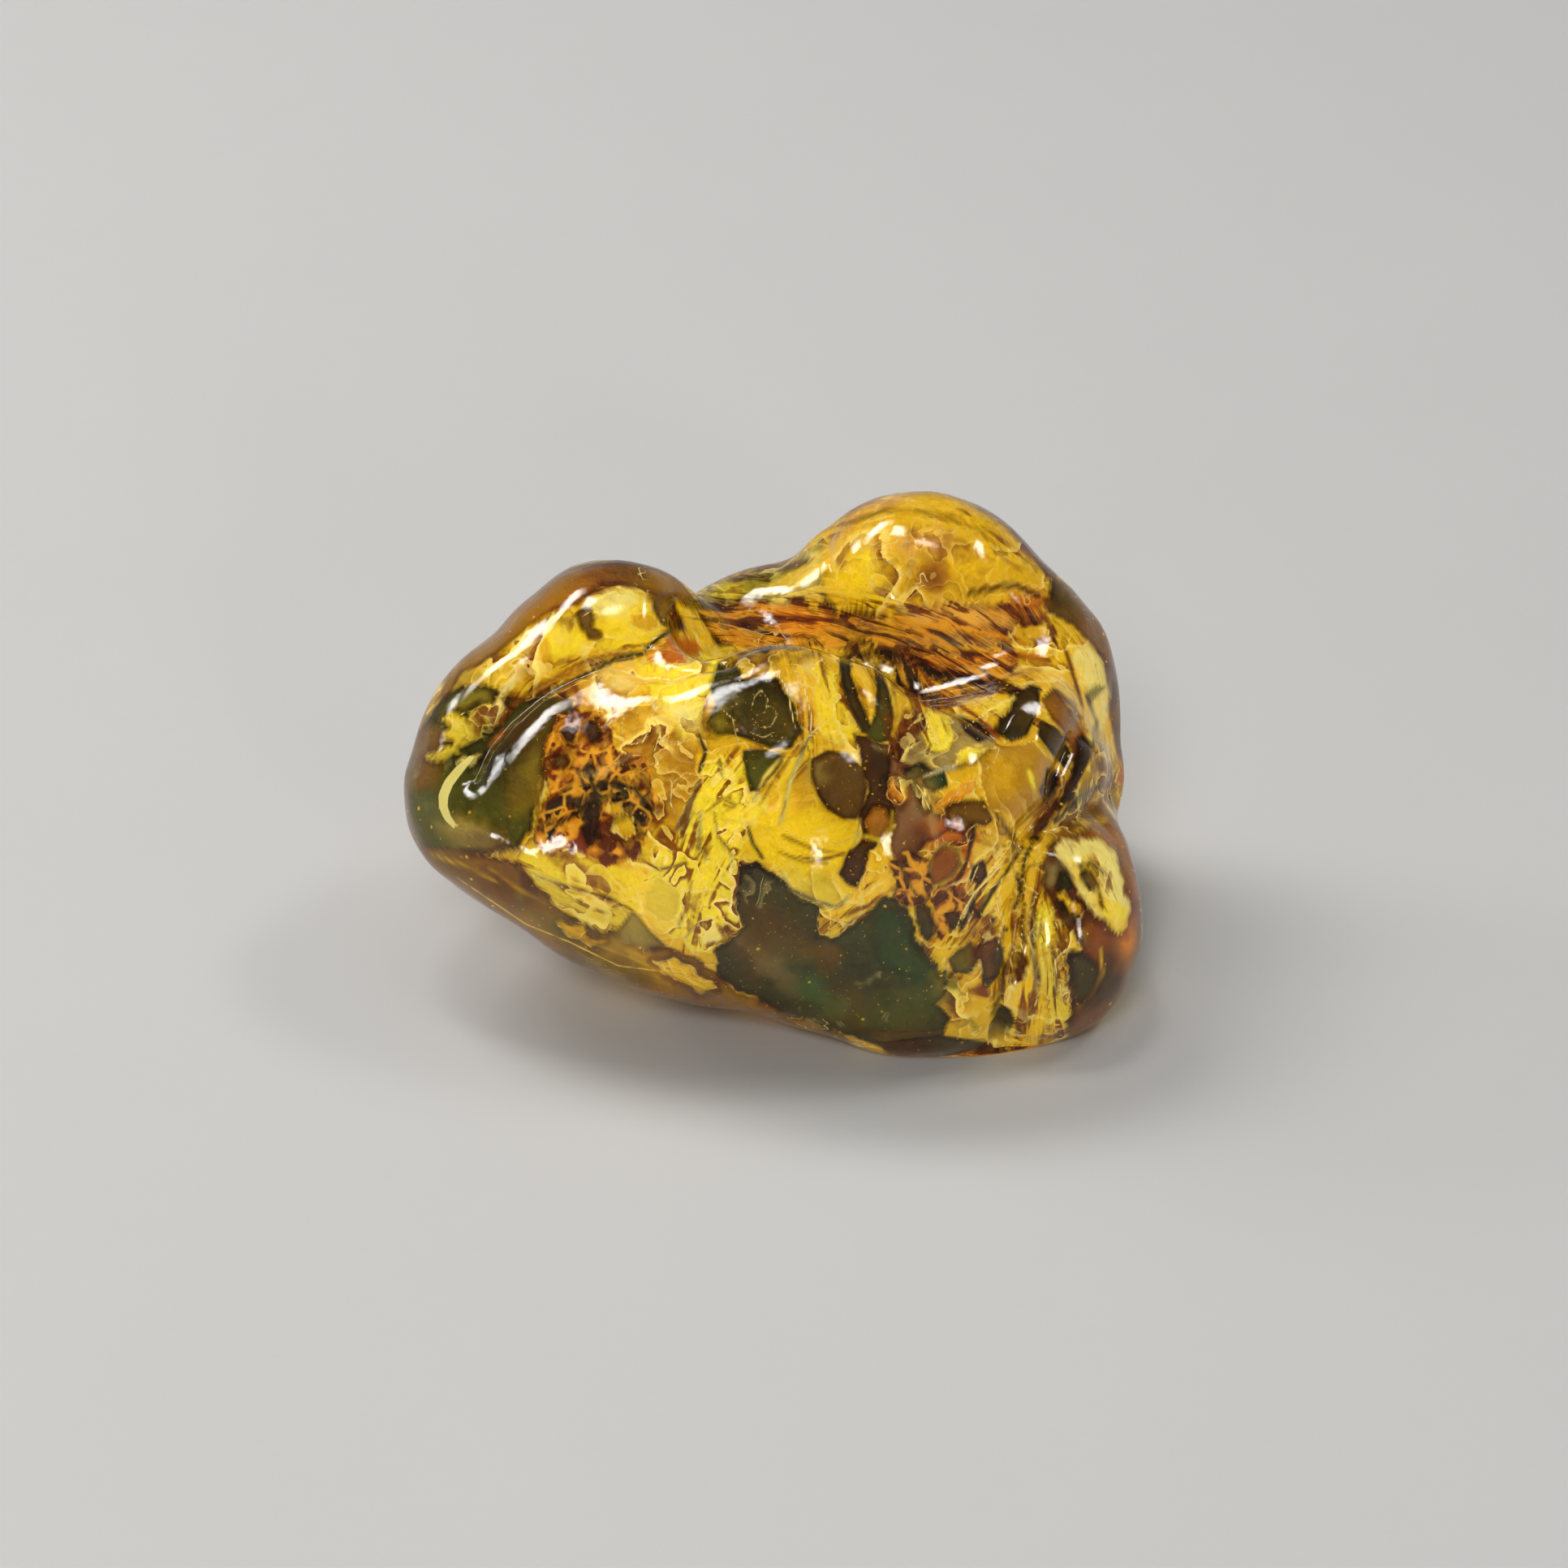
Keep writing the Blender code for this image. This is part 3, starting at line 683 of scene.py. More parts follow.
        1290, 1296, 1240, 1304, 1222, 1292, 1240, 1246, 1246, 1180, 1252, 1140]),
    ("leaf", "bright", 0.6, 0.2, [1286, 1108, 1297, 1124, 1297, 1151, 1290, 1182, 1280, 1171, 1277, 1135]),
    ("leaf", "straw", 0.8, 0.2, [1283, 1180, 1296, 1180, 1306, 1215, 1317, 1246, 1313, 1272, 1300, 1266,
        1290, 1230, 1281, 1210]),
    ("leaf", "gold", 0.6, 0.2, [1274, 1230, 1286, 1224, 1293, 1245, 1291, 1271, 1282, 1287, 1269, 1281,
        1271, 1250]),
    ("leaf", "gold", 0.6, 0.3, [1254, 1200, 1270, 1198, 1277, 1220, 1273, 1250, 1262, 1262, 1249, 1251,
        1244, 1230]),
    ("clear", "brown", 1.8, 0.5, [1257, 1168, 1266, 1185, 1259, 1206, 1247, 1217, 1251, 1190]),
    ("clear", "soot", 2, 0.5, [1231, 1238, 1246, 1244, 1251, 1261, 1240, 1277, 1224, 1282, 1221, 1260]),
    ("leaf", "honey", 1, 0.1, [1224, 1290, 1250, 1272, 1280, 1282, 1306, 1282, 1300, 1294, 1262, 1304,
        1236, 1304]),
    # valley, tail and dome
    ("fibre", "brown", 1, 0.4, [862, 742, 905, 736, 960, 738, 1020, 745, 1100, 755, 1180, 742, 1280, 745,
        1304, 775, 1300, 800, 1282, 835, 1262, 850, 1200, 860, 1150, 880, 1130, 860, 1100, 830, 1080,
        800, 1000, 800, 930, 802, 890, 797, 868, 770]),
    ("tint", "orange", 0.8, 0.3, [898, 740, 962, 738, 978, 750, 960, 762, 902, 762]),
    ("tint", "umber", 1.8, 0.2, [902, 766, 960, 766, 952, 786, 930, 800, 910, 792]),
    ("tint", "rust", 0.9, 0.4, [958, 752, 1022, 750, 1034, 776, 1000, 796, 958, 788]),
    ("tint", "honey", 0.8, 0.3, [950, 800, 998, 780, 1032, 768, 1096, 770, 1110, 785, 1060, 796, 1000,
        800]),
    ("fibre", "soot", 1.8, 0.2, [1062, 798, 1102, 798, 1152, 824, 1202, 840, 1244, 845, 1204, 857, 1164,
        872, 1140, 862, 1112, 850, 1096, 830]),
    # painted soft highlight along the valley, in peach
    ("tint", "peach", 0.8, 0.1, [1106, 764, 1150, 748, 1200, 745, 1244, 757, 1254, 776, 1220, 781, 1160,
        769, 1124, 775]),
    ("tint", "slate", 1, 0.4, [1108, 787, 1160, 778, 1222, 789, 1234, 800, 1180, 806, 1140, 801]),
    ("leaf", "honey", 0.9, 0.5, [1250, 770, 1290, 765, 1300, 800, 1290, 835, 1262, 846, 1244, 840, 1255,
        815, 1240, 795]),
    ("leaf", "olive", 1, 0.3, [850, 742, 880, 712, 930, 705, 990, 682, 1016, 658, 1020, 735, 960, 741,
        900, 742]),
    ("tint", "yellow", 0.8, 0.2, [866, 734, 880, 724, 912, 724, 914, 734]),
    ("tint", "pale", 0.7, 0.2, [944, 740, 956, 728, 985, 718, 996, 700, 990, 680, 1014, 664, 1013, 700,
        1006, 728, 975, 738]),
    ("clear", "drab", 1.6, 0, [1010, 735, 1026, 732, 1042, 752, 1024, 758]),
    ("leaf", "ochre", 1, 0.25, [1018, 735, 1012, 700, 1016, 660, 1040, 630, 1080, 610, 1150, 604, 1220,
        622, 1262, 660, 1298, 708, 1290, 735, 1240, 742, 1150, 742, 1060, 748, 1030, 745]),
    ("tint", "rust", 1.4, 0, [1040, 636, 1060, 616, 1110, 606, 1112, 614, 1070, 626, 1044, 648]),
    ("tint", "golden", 0.8, 0.2, [1022, 700, 1045, 680, 1070, 698, 1082, 730, 1062, 746, 1036, 738]),
    ("tint", "yellow", 0.7, 0.1, [1052, 668, 1078, 690, 1092, 740, 1076, 746, 1064, 710]),
    ("tint", "peach", 0.7, 0, [1096, 676, 1110, 656, 1150, 648, 1172, 664, 1160, 684, 1122, 690]),
    ("tint", "amber", 1.2, 0, [1122, 690, 1166, 688, 1178, 716, 1150, 737, 1120, 731]),
    ("tint", "gold", 0.8, 0.3, [1166, 680, 1202, 668, 1262, 662, 1280, 692, 1240, 706, 1200, 722, 1180,
        722]),
    ("clear", "bark", 1.2, 0, [1198, 612, 1232, 622, 1262, 645, 1282, 680, 1304, 712, 1290, 712, 1262,
        672, 1240, 646, 1206, 628]),
    ("tint", "rust", 1, 0.5, [1240, 724, 1282, 728, 1288, 752, 1262, 762, 1244, 748]),
    ("tint", "rust", 1, 0.6, [1140, 1000, 1180, 1010, 1206, 1040, 1200, 1090, 1170, 1130, 1150, 1110,
        1140, 1050]),
    ("tint", "brown", 1.2, 0.7, [1196, 1120, 1222, 1100, 1232, 1150, 1220, 1200, 1200, 1190]),
    ("tint", "brown", 1.2, 0.5, [1090, 884, 1130, 876, 1140, 900, 1112, 930, 1096, 930]),
    ("tint", "brown", 1.2, 0.4, [1262, 1000, 1290, 985, 1310, 960, 1322, 960, 1300, 1010, 1276, 1036]),
    ("tint", "rust", 1, 0.5, [700, 880, 735, 885, 745, 915, 725, 935, 700, 925]),
    ("tint", "orange", 0.8, 0.5, [768, 930, 795, 945, 805, 975, 786, 985, 765, 960]),
    ("tint", "umber", 1.4, 0.4, [1040, 800, 1100, 800, 1150, 826, 1120, 836, 1060, 822]),
    ("tint", "honey", 1.2, 0.3, [742, 1158, 800, 1172, 850, 1190, 888, 1214, 850, 1216, 790, 1196, 748,
        1178]),
    ("tint", "olive", 1.4, 0.2, [640, 1112, 690, 1128, 720, 1150, 700, 1158, 660, 1140]),
    ("leaf", "ochre", 0.9, 0.4, [806, 1186, 830, 1180, 862, 1196, 884, 1216, 866, 1222, 836, 1206]),
    ("leaf", "honey", 1, 0.4, [692, 1140, 716, 1140, 742, 1156, 730, 1164, 706, 1156]),
    ("clear", "umber", 1.2, 0.6, [692, 900, 704, 890, 712, 902, 706, 918, 694, 914]),
    ("clear", "umber", 1.2, 0.6, [722, 892, 736, 890, 742, 904, 732, 914, 722, 906]),
    ("clear", "drab", 1.2, 0.6, [682, 930, 696, 926, 702, 940, 692, 950, 682, 944]),
    ("clear", "soot", 1.6, 0.4, [1180, 884, 1204, 890, 1222, 908, 1206, 912, 1188, 902]),
    ("leaf", "bright", 0.6, 0.4, [1176, 930, 1196, 920, 1212, 922, 1200, 934, 1182, 940]),
    ("clear", "night", 1.8, 0.5, [1110, 946, 1136, 938, 1152, 950, 1136, 958, 1116, 960]),
    ("leaf", "gold", 0.6, 0.5, [1122, 962, 1140, 974, 1150, 990, 1140, 998, 1128, 984]),
    ("leaf", "orange", 0.7, 0.5, [1098, 958, 1112, 962, 1118, 984, 1108, 996, 1098, 980]),
    ("clear", "umber", 1.4, 0.5, [1196, 1066, 1212, 1060, 1218, 1080, 1206, 1094, 1196, 1084]),
    ("clear", "umber", 1.4, 0.5, [1164, 1126, 1180, 1120, 1186, 1138, 1172, 1148]),
    ("leaf", "bright", 0.6, 0.4, [1208, 1098, 1222, 1090, 1226, 1112, 1214, 1124, 1206, 1112]),
    ("clear", "soot", 1.6, 0.4, [1290, 948, 1304, 956, 1300, 978, 1288, 990, 1280, 974]),
    ("tint", "ash", 1, 0.3, [1118, 944, 1140, 950, 1156, 985, 1146, 1010, 1124, 1000, 1112, 966]),
    ("tint", "umber", 1.6, 0.3, [1352, 1180, 1384, 1150, 1400, 1180, 1388, 1226, 1352, 1256, 1334, 1250,
        1352, 1214]),
    ("tint", "ember", 1.2, 0.2, [1376, 1160, 1398, 1130, 1404, 1170, 1394, 1206, 1380, 1196]),
    ("leaf", "gold", 0.7, 0.3, [1300, 1100, 1310, 1094, 1322, 1108, 1334, 1128, 1328, 1134, 1312, 1118]),
]
strokes = [                  # tone, half width, points on the sheet
    ("orange", 0.22, [612, 895, 632, 868, 660, 850, 692, 833, 722, 815, 762, 804]),
    ("night", 0.16, [640, 872, 680, 852, 722, 831, 760, 811, 792, 805]),
    ("rust", 0.18, [604, 918, 622, 900]),
    ("rust", 0.14, [700, 838, 715, 855, 712, 870]),
    ("soot", 0.12, [795, 801, 812, 786, 832, 774]),
    ("bright", 0.12, [848, 816, 880, 801, 906, 797, 936, 805]),
    ("bright", 0.14, [668, 958, 664, 985, 661, 1010, 657, 1040]),
    ("pale", 0.1, [640, 1070, 700, 1094, 752, 1112]),
    ("pale", 0.22, [862, 962, 846, 1000, 834, 1022]),
    ("pale", 0.14, [852, 1002, 840, 1032]),
    ("pale", 0.14, [863, 1000, 860, 1040, 872, 1060]),
    ("honey", 0.12, [870, 1000, 890, 985, 905, 992]),
    ("honey", 0.14, [836, 1142, 845, 1120, 850, 1086]),
    ("pale", 0.12, [842, 1158, 856, 1142, 880, 1132]),
    ("honey", 0.1, [880, 1000, 884, 1030, 900, 1050, 905, 1075]),
    ("straw", 0.2, [886, 936, 890, 955]),
    ("pale", 0.14, [998, 906, 986, 934, 973, 965, 965, 1000, 961, 1014]),
    ("pale", 0.2, [966, 930, 942, 958, 930, 984]),
    ("honey", 0.12, [972, 935, 952, 962, 938, 990]),
    ("pale", 0.1, [1060, 1010, 1057, 1030, 1050, 1047]),
    ("pale", 0.12, [960, 1074, 975, 1096, 1002, 1109, 1030, 1118, 1047, 1104]),
    ("honey", 0.1, [965, 1030, 1000, 1046, 1040, 1052]),
    ("honey", 0.08, [960, 1050, 990, 1062, 1020, 1064]),
    ("bright", 0.18, [1100, 1000, 1098, 1020, 1086, 1036, 1066, 1030]),
    ("gold", 0.26, [1075, 804, 1100, 838, 1107, 878, 1100, 906]),
    ("honey", 0.2, [1068, 799, 1110, 828, 1126, 868, 1132, 892]),
    ("rust", 0.2, [1110, 800, 1140, 835, 1170, 862, 1200, 880, 1232, 910]),
    ("cream", 0.1, [1118, 935, 1140, 925, 1170, 935]),
    ("white", 0.16, [1136, 958, 1160, 948, 1184, 944]),
    ("gold", 0.16, [1222, 924, 1200, 940, 1180, 945]),
    ("bright", 0.26, [1267, 948, 1276, 976]),
    ("rust", 0.18, [1300, 850, 1322, 870, 1340, 902]),
    ("cream", 0.1, [1298, 846, 1322, 868, 1336, 894]),
    ("night", 0.2, [1300, 1012, 1330, 982, 1372, 960]),
    ("drab", 0.14, [1324, 1068, 1345, 1064, 1366, 1081]),
    ("drab", 0.14, [1352, 1084, 1358, 1118]),
    ("night", 0.24, [1334, 1072, 1337, 1078]),
    ("night", 0.26, [1339, 1088, 1343, 1094]),
    ("gold", 0.14, [1356, 1168, 1358, 1200, 1346, 1225, 1330, 1242]),
    ("honey", 0.14, [1311, 1180, 1315, 1210, 1331, 1237]),
    ("bright", 0.14, [1145, 1075, 1150, 1052, 1163, 1041, 1180, 1046, 1184, 1066, 1168, 1084, 1150, 1094]),
    ("umber", 0.2, [1222, 1131, 1224, 1135]),
    ("umber", 0.18, [1238, 1144, 1241, 1146]),
    ("umber", 0.16, [1252, 1076, 1258, 1100, 1250, 1120]),
    ("rust", 0.18, [1068, 1126, 1050, 1136, 1036, 1148]),
    ("rust", 0.14, [1088, 1100, 1070, 1116, 1046, 1126]),
    ("tan", 0.14, [1273, 1100, 1268, 1140, 1274, 1180, 1276, 1215, 1268, 1250, 1258, 1268, 1240, 1286]),
    ("orange", 0.18, [1251, 1155, 1242, 1190, 1233, 1215, 1222, 1232]),
    ("gold", 0.18, [1256, 1165, 1249, 1190, 1244, 1212]),
    ("brown", 0.16, [1262, 1110, 1258, 1140, 1262, 1170]),
    ("rust", 0.14, [1300, 1125, 1308, 1165, 1305, 1190]),
    ("gold", 0.22, [1188, 1264, 1196, 1257, 1204, 1271]),
    ("orange", 0.22, [1096, 794, 1150, 769, 1200, 776, 1262, 792]),
    ("rust", 0.24, [1130, 811, 1180, 816, 1240, 805, 1292, 813]),
    ("peach", 0.22, [1180, 821, 1230, 834, 1282, 824]),
    ("honey", 0.16, [1140, 798, 1190, 800, 1250, 800]),
    ("drab", 0.26, [958, 704, 985, 694, 998, 690]),
    ("honey", 0.2, [1036, 648, 1090, 628, 1150, 632, 1202, 650, 1242, 682]),
    ("gold", 0.26, [1186, 638, 1230, 652, 1268, 692]),
    ("bark", 0.24, [1190, 731, 1250, 720, 1282, 735]),
    ("honey", 0.2, [1092, 700, 1110, 690, 1124, 700, 1122, 722]),
    ("umber", 0.16, [1108, 1062, 1120, 1090, 1140, 1118, 1156, 1150]),
    ("umber", 0.14, [1262, 1040, 1240, 1075, 1222, 1100, 1205, 1130]),
    ("soot", 0.14, [1276, 1030, 1262, 1060, 1258, 1100]),
    ("umber", 0.18, [1205, 1090, 1196, 1118, 1184, 1146]),
    ("umber", 0.16, [1228, 1160, 1238, 1190, 1232, 1225, 1222, 1250]),
    ("umber", 0.14, [1276, 1120, 1272, 1170, 1280, 1205, 1276, 1240]),
    ("brown", 0.14, [1296, 1155, 1302, 1195, 1300, 1225]),
    ("umber", 0.12, [1180, 1000, 1200, 1020, 1192, 1060, 1180, 1085]),
    ("brown", 0.16, [1090, 900, 1110, 925, 1104, 960]),
    ("umber", 0.12, [860, 905, 870, 925, 862, 950]),
    ("brown", 0.12, [790, 1060, 812, 1072, 846, 1064]),
    ("brown", 0.1, [700, 1092, 742, 1104, 780, 1122]),
    ("umber", 0.12, [920, 1015, 928, 1040, 940, 1058]),
    ("brown", 0.1, [1040, 1052, 1010, 1060, 985, 1056]),
    ("umber", 0.14, [1226, 1004, 1246, 1030, 1250, 1050]),
    ("umber", 0.12, [1340, 860, 1352, 890, 1346, 925]),
    ("brown", 0.14, [1310, 790, 1322, 830, 1334, 870]),
    ("orange", 0.13, [686, 914, 686, 896, 698, 884, 714, 888, 718, 904, 710, 922, 694, 924, 686, 914]),
    ("orange", 0.12, [718, 908, 718, 892, 730, 882, 745, 888, 750, 904, 740, 918, 726, 918]),
    ("gold", 0.11, [676, 948, 674, 932, 686, 920, 700, 922, 708, 936, 700, 952, 686, 956]),
    ("orange", 0.12, [668, 990, 686, 980, 700, 968, 712, 958]),
    ("gold", 0.13, [738, 1004, 738, 990, 750, 980, 766, 982, 774, 996, 768, 1010, 754, 1014, 742, 1010]),
    ("gold", 0.11, [750, 1028, 756, 1010, 772, 1004, 786, 1014, 790, 1028, 778, 1040, 762, 1038]),
    ("orange", 0.12, [664, 1018, 680, 1010, 696, 1018, 690, 1034, 674, 1036]),
    ("gold", 0.12, [766, 940, 782, 948, 796, 962, 802, 984]),
    ("orange", 0.11, [756, 962, 772, 958, 790, 972]),
    ("soot", 0.22, [722, 944, 730, 966, 738, 990, 732, 1014, 728, 1036]),
    ("soot", 0.2, [732, 972, 756, 964, 782, 972, 796, 992]),
    ("soot", 0.2, [730, 990, 708, 1002, 690, 1014, 676, 1030]),
    ("ash", 0.1, [712, 950, 724, 956, 732, 948]),
    ("gold", 0.07, [700, 1150, 740, 1166, 790, 1186, 830, 1204, 880, 1226]),
    ("honey", 0.08, [604, 1070, 640, 1096, 680, 1118]),
    ("gold", 0.07, [530, 1052, 570, 1066, 612, 1086]),
]
drawing = {"middle": 966, "unit": 0.07}    # the sheet: its middle in units, and millimetres to a unit
inside = {
    "rag": 0.32,              # how far torn edges wander
    "ragSize": 1.5,
    "tear": 0.9,              # how far outlines are bent before that
    "tearSize": 1.2,
    "farPatch": 6.0,          # size of the patches on the far side
    "shallow": 0.35,          # nothing lies nearer the skin
    "slant": 0.42,            # seen more aslant than this, the layers are evened out
    "groundGap": 0.5,
    "glow": 0.46,             # glow that the resin gives off itself: painted light standing in for light passed on inside the resin
    "roughness": 0.26,
}


# resin colour that looks like the tone: undoes the screen curve, then the deepening under a clear coat,
# t / (0.38 + 0.6 t)
def resinTone(name):
    screen = np.array(tones[name]) / 255.0
    light = np.where(screen < 0.04, screen / 12.92, ((screen + 0.055) / 1.055) ** 2.4)
    return light / (0.38 + 0.6 * light)


# points listed as across, down, across, down on the drawing sheet, in mm across and up from its middle
def onSheet(numbers):
    points = np.array(numbers, float).reshape(-1, 2) - drawing["middle"]
    return points * drawing["unit"] * np.array([1.0, -1.0])


# each straight stretch of a path: its way over its length, how far along the path each point lies, its offset
def stretches(flat, path):
    start = 0.0
    for p0, p1 in zip(path[:-1], path[1:]):
        run = p1 - p0
        long = np.linalg.norm(run)
        share = np.clip((flat - p0) @ run / long ** 2, 0, 1)
        yield run, long, start + share * long, flat - p0 - share[:, None] * run
        start += long


# distance inside a stroke that thins out at both ends: half width * sqrt(sin) of the way along, less the gap
def insideStroke(flat, path, halfWidth):
    best = np.full(len(flat), outside)
    whole = np.sum(np.linalg.norm(np.diff(path, axis=0), axis=1))
    for _, _, along, offset in stretches(flat, path):
        swell = 0.35 + 0.65 * np.sqrt(np.sin(np.pi * np.clip(along / whole, 0.02, 0.98)))
        best = np.maximum(best, halfWidth * swell - np.linalg.norm(offset, axis=1))
    return best


drawn = np.column_stack([flat, np.zeros(len(flat))])
rag = (rough(drawn, inside["ragSize"], 11, 3) - 0.5) * 2 * inside["rag"]
pulls = [rough(drawn, inside["tearSize"], seed, 3) - 0.5 for seed in (13, 14)]
torn = flat + inside["tear"] * np.stack(pulls, axis=1)
# the far side: leaves, windows and crust fall where the mottle says
leafGap = (rough(body, inside["farPatch"], 21, 4) - 0.495) * 8.0
crustGap = (rough(body, 7.0, 81, 4) - 0.645) * 9.0
coldGap = (rough(body, 9.0, 83, 3) - 0.50) * 9.0
far = np.zeros((len(body), 3)) + resinTone("bark")
far += (resinTone("murk") - far) * soft(coldGap, -0.5, 0.5)[:, None]
leafMix = soft(rough(body, 5.0, 31, 3), 0.35, 0.65)[:, None]
leafFar = resinTone("honey") * (1 - leafMix) + resinTone("yellow") * leafMix
isLeaf = soft(leafGap, -0.10, 0.15)
far += (leafFar - far) * isLeaf[:, None]
isCrust = soft(crustGap, -0.10, 0.15)
far += (resinTone("rust") - far) * isCrust[:, None]
tone = far
leafy = isLeaf * (1 - isCrust)
crusty = isCrust
fibrous = np.zeros(len(body))
crumple = soft(rough(body, 6.0, 41, 3), 0.35, 0.65)
depth = (2.5 + 3.0 * rough(body, 8.0, 51, 2)) * (1 - isLeaf) + (0.7 + 1.2 * rough(body, 4.0, 61, 2)) * isLeaf
depth += (1.0 - depth) * isCrust
edge = np.minimum(np.abs(leafGap), np.abs(crustGap)) + 0.2
# the near side starts as plain ochre resin
bed = seen
tone = tone + (resinTone("ochre") - tone) * bed[:, None]
leafy = leafy + (1.0 - leafy) * bed
crusty = crusty * (1 - bed)
depth = depth + (1.1 - depth) * bed
crumple = crumple + (0.5 - crumple) * bed
edge = np.maximum(edge, 9.0 * bed)
for kind, shade, sink, fold, outline in patches:
    outline = onSheet(outline)
    ragged = 1.4 if kind != "clear" else fold        # clear windows have calm edges unless folded
    gap = insideOutline(flat + (torn - flat) * min(ragged, 1.0), outline) + rag * ragged
    gap = np.where(seen > 0.02, gap, outside)
    if kind == "tint":                # a soft change of tone and depth inside clear resin
        here = soft(gap + 1.6 * rag, -0.8, 1.1) * soft(seen, 0.0, 0.3)
        tone = tone + (resinTone(shade) - tone) * here[:, None]
        depth = depth + (sink - depth) * here
        continue
    here = soft(gap, -0.12, 0.12) * soft(seen, 0.0, 0.3)
    tone = tone + (resinTone(shade) - tone) * here[:, None]
    leafy = leafy + ((kind == "leaf") - leafy) * here
    crusty = crusty + ((kind == "crust") - crusty) * here
    fibrous = fibrous + ((kind == "fibre") - fibrous) * here
    crumple = crumple + (fold - crumple) * here
    depth = depth + (sink - depth) * soft(gap, -0.25, 0.25) * soft(seen, 0.0, 0.3)
    line = np.maximum(-gap, 0.0) + (0.0 if kind == "leaf" else 0.3)
    edge = np.where(gap > 0, gap + (0.0 if kind == "leaf" else 0.3), np.minimum(edge, line))
raised = np.zeros(len(body))
for shade, halfWidth, path in strokes:
    gap = np.where(seen > 0.02, insideStroke(flat, onSheet(path), halfWidth) + 0.35 * rag, outside)
    here = soft(gap, -0.15, 0.15)
    tone = tone + (resinTone(shade) - tone) * here[:, None]
    leafy = leafy * (1 - here)
    crusty = crusty * (1 - here)
    raised = np.maximum(raised, here)
# painted shade: faces turned away from the eye are pulled to a mottled dark amber brown, standing in for the
# long slanting look through the resin
slantShade = soft(0.34 - facingEye, -0.10, 0.22) * (facingEye > -0.2)
slantShadeTone = resinTone("bark") * (1 - 0.4 * soft(rough(body, 5.0, 25, 3), 0.4, 0.6))[:, None]
tone = tone + (slantShadeTone - tone) * (slantShade * 0.75)[:, None]

# leaves are wrinkled and crusts are pitted; strokes stand out, and all is shallow where looked at aslant
bent = body + 1.5 * np.stack([mottle(body, 2.5, seed) for seed in (5, 6, 7)], axis=1)
wrinkle = folded(bent, 2.0, 91, 3)
depth = depth + leafy * (0.15 + crumple) * (0.45 - 0.9 * wrinkle)
depth = depth + crusty * 0.8 * (rough(body, 1.6, 97, 2) - 0.5)
depth = np.maximum(depth - 0.25 * raised, inside["shallow"])
flatter = seen * (0.75 - 0.75 * soft(facingEye, 0.05, 0.5))
depth = inside["shallow"] + (depth - inside["shallow"]) * (1 - flatter)
aslant = soft(inside["slant"] - facingEye, 0.0, 0.22) * (facingEye > -0.6)
tone = eased(tone, aslant, 8)
depth = eased(depth, aslant, 8)
edge = eased(edge, aslant, 4)
guides = [                   # lines that folds and fibres follow: reach, strength, points on the sheet
    (3.6, 0.9, [873, 737, 966, 749, 1052, 763, 1152, 795, 1237, 845, 1309, 887]),
    (3.2, 0.75, [1272, 1090, 1262, 1170, 1252, 1290]),
    (1.6, 0.6, [1290, 1105, 1300, 1180, 1310, 1270]),
    (2.4, 0.7, [985, 806, 1003, 860, 1008, 920]),
    (2, 0.7, [1062, 802, 1080, 850, 1092, 912]),
    (1.6, 0.8, [1110, 800, 1130, 850, 1150, 900]),
    (3.6, 0.75, [1256, 1044, 1216, 1094, 1181, 1140, 1150, 1184]),
    (1.8, 0.6, [905, 935, 869, 985, 852, 1036]),
    (1.8, 0.6, [880, 1060, 858, 1110, 850, 1168]),
    (1.8, 0.8, [1102, 1088, 1062, 1116, 1028, 1146]),
    (1.4, 0.6, [990, 926, 946, 974, 905, 1010]),
    (1.4, 0.7, [622, 902, 660, 852, 720, 817, 802, 800]),
    (1.8, 0.6, [880, 724, 950, 730, 1006, 690]),
    (2.2, 0.55, [1310, 760, 1345, 820, 1356, 922]),
    (1.6, 0.45, [1034, 650, 1100, 624, 1180, 634, 1252, 682]),
    (1.6, 0.5, [646, 1072, 700, 1096, 770, 1128]),
    (1.8, 0.45, [1200, 1000, 1230, 1030, 1256, 1040]),
    (1.8, 0.5, [1320, 1040, 1350, 1085, 1372, 1140]),
]
best = np.full(len(body), 1e9)
flow = body * 1.1
pull = np.zeros(len(body))
# the nearest guide gives a place along it and a place across it
for number, (reach, strength, path) in enumerate(guides):
    for run, long, along, offset in stretches(flat, onSheet(path)):
        gap = np.linalg.norm(offset, axis=1)
        side = (offset[:, 0] * run[1] - offset[:, 1] * run[0]) / long
        closer = (gap / reach < best) & (seen > 0.02)
        best = np.where(closer, gap / reach, best)
        here = np.stack([side / 0.8, along / 5.0, np.full(len(body), 3.7 * number)], axis=1)
        flow = np.where(closer[:, None], here, flow)
        pull = np.where(closer, strength * soft(-gap / reach, -1.0, -0.55), pull)
fibrous = np.maximum(fibrous, leafy * pull)

resin = Paint("layered resin")
fine = resin.noise(2600.0, 3.0)
finer = resin.noise(1000.0, 5.0)
mid = resin.noise(420.0, 4.0, distortion=0.8)
warped = resin.bend(350.0, 0.0018)
threads = resin.noise(1.0, 4.0, resin.mark("flow", True), distortion=0.6)
folds = resin.mark("crumple")
broad = resin.noise(130.0, 3.0, warped)
slow = resin.noise(75.0, 1.0, resin.bend(170.0, 0.0034))
sheet = (slow * 9.0 + (mid - 0.5) * 0.45).maths("FRACT")     # each sheet's free edge lies over the next: painted light rising to that edge and painted shade just past it
sheetKeep = resin.noise(95.0, 1.0).step(0.40, 0.55)
pleat = (resin.noise(200.0, 2.0, warped, distortion=0.5) * 6.0 + (finer - 0.5) * 0.4).maths("FRACT")
# painted highlights on each kept sheet's free edge and on the crests of folds
lipHighlight = sheet.step(0.84, 0.95) * sheetKeep
crest = pleat.step(0.80, 0.96) * folds
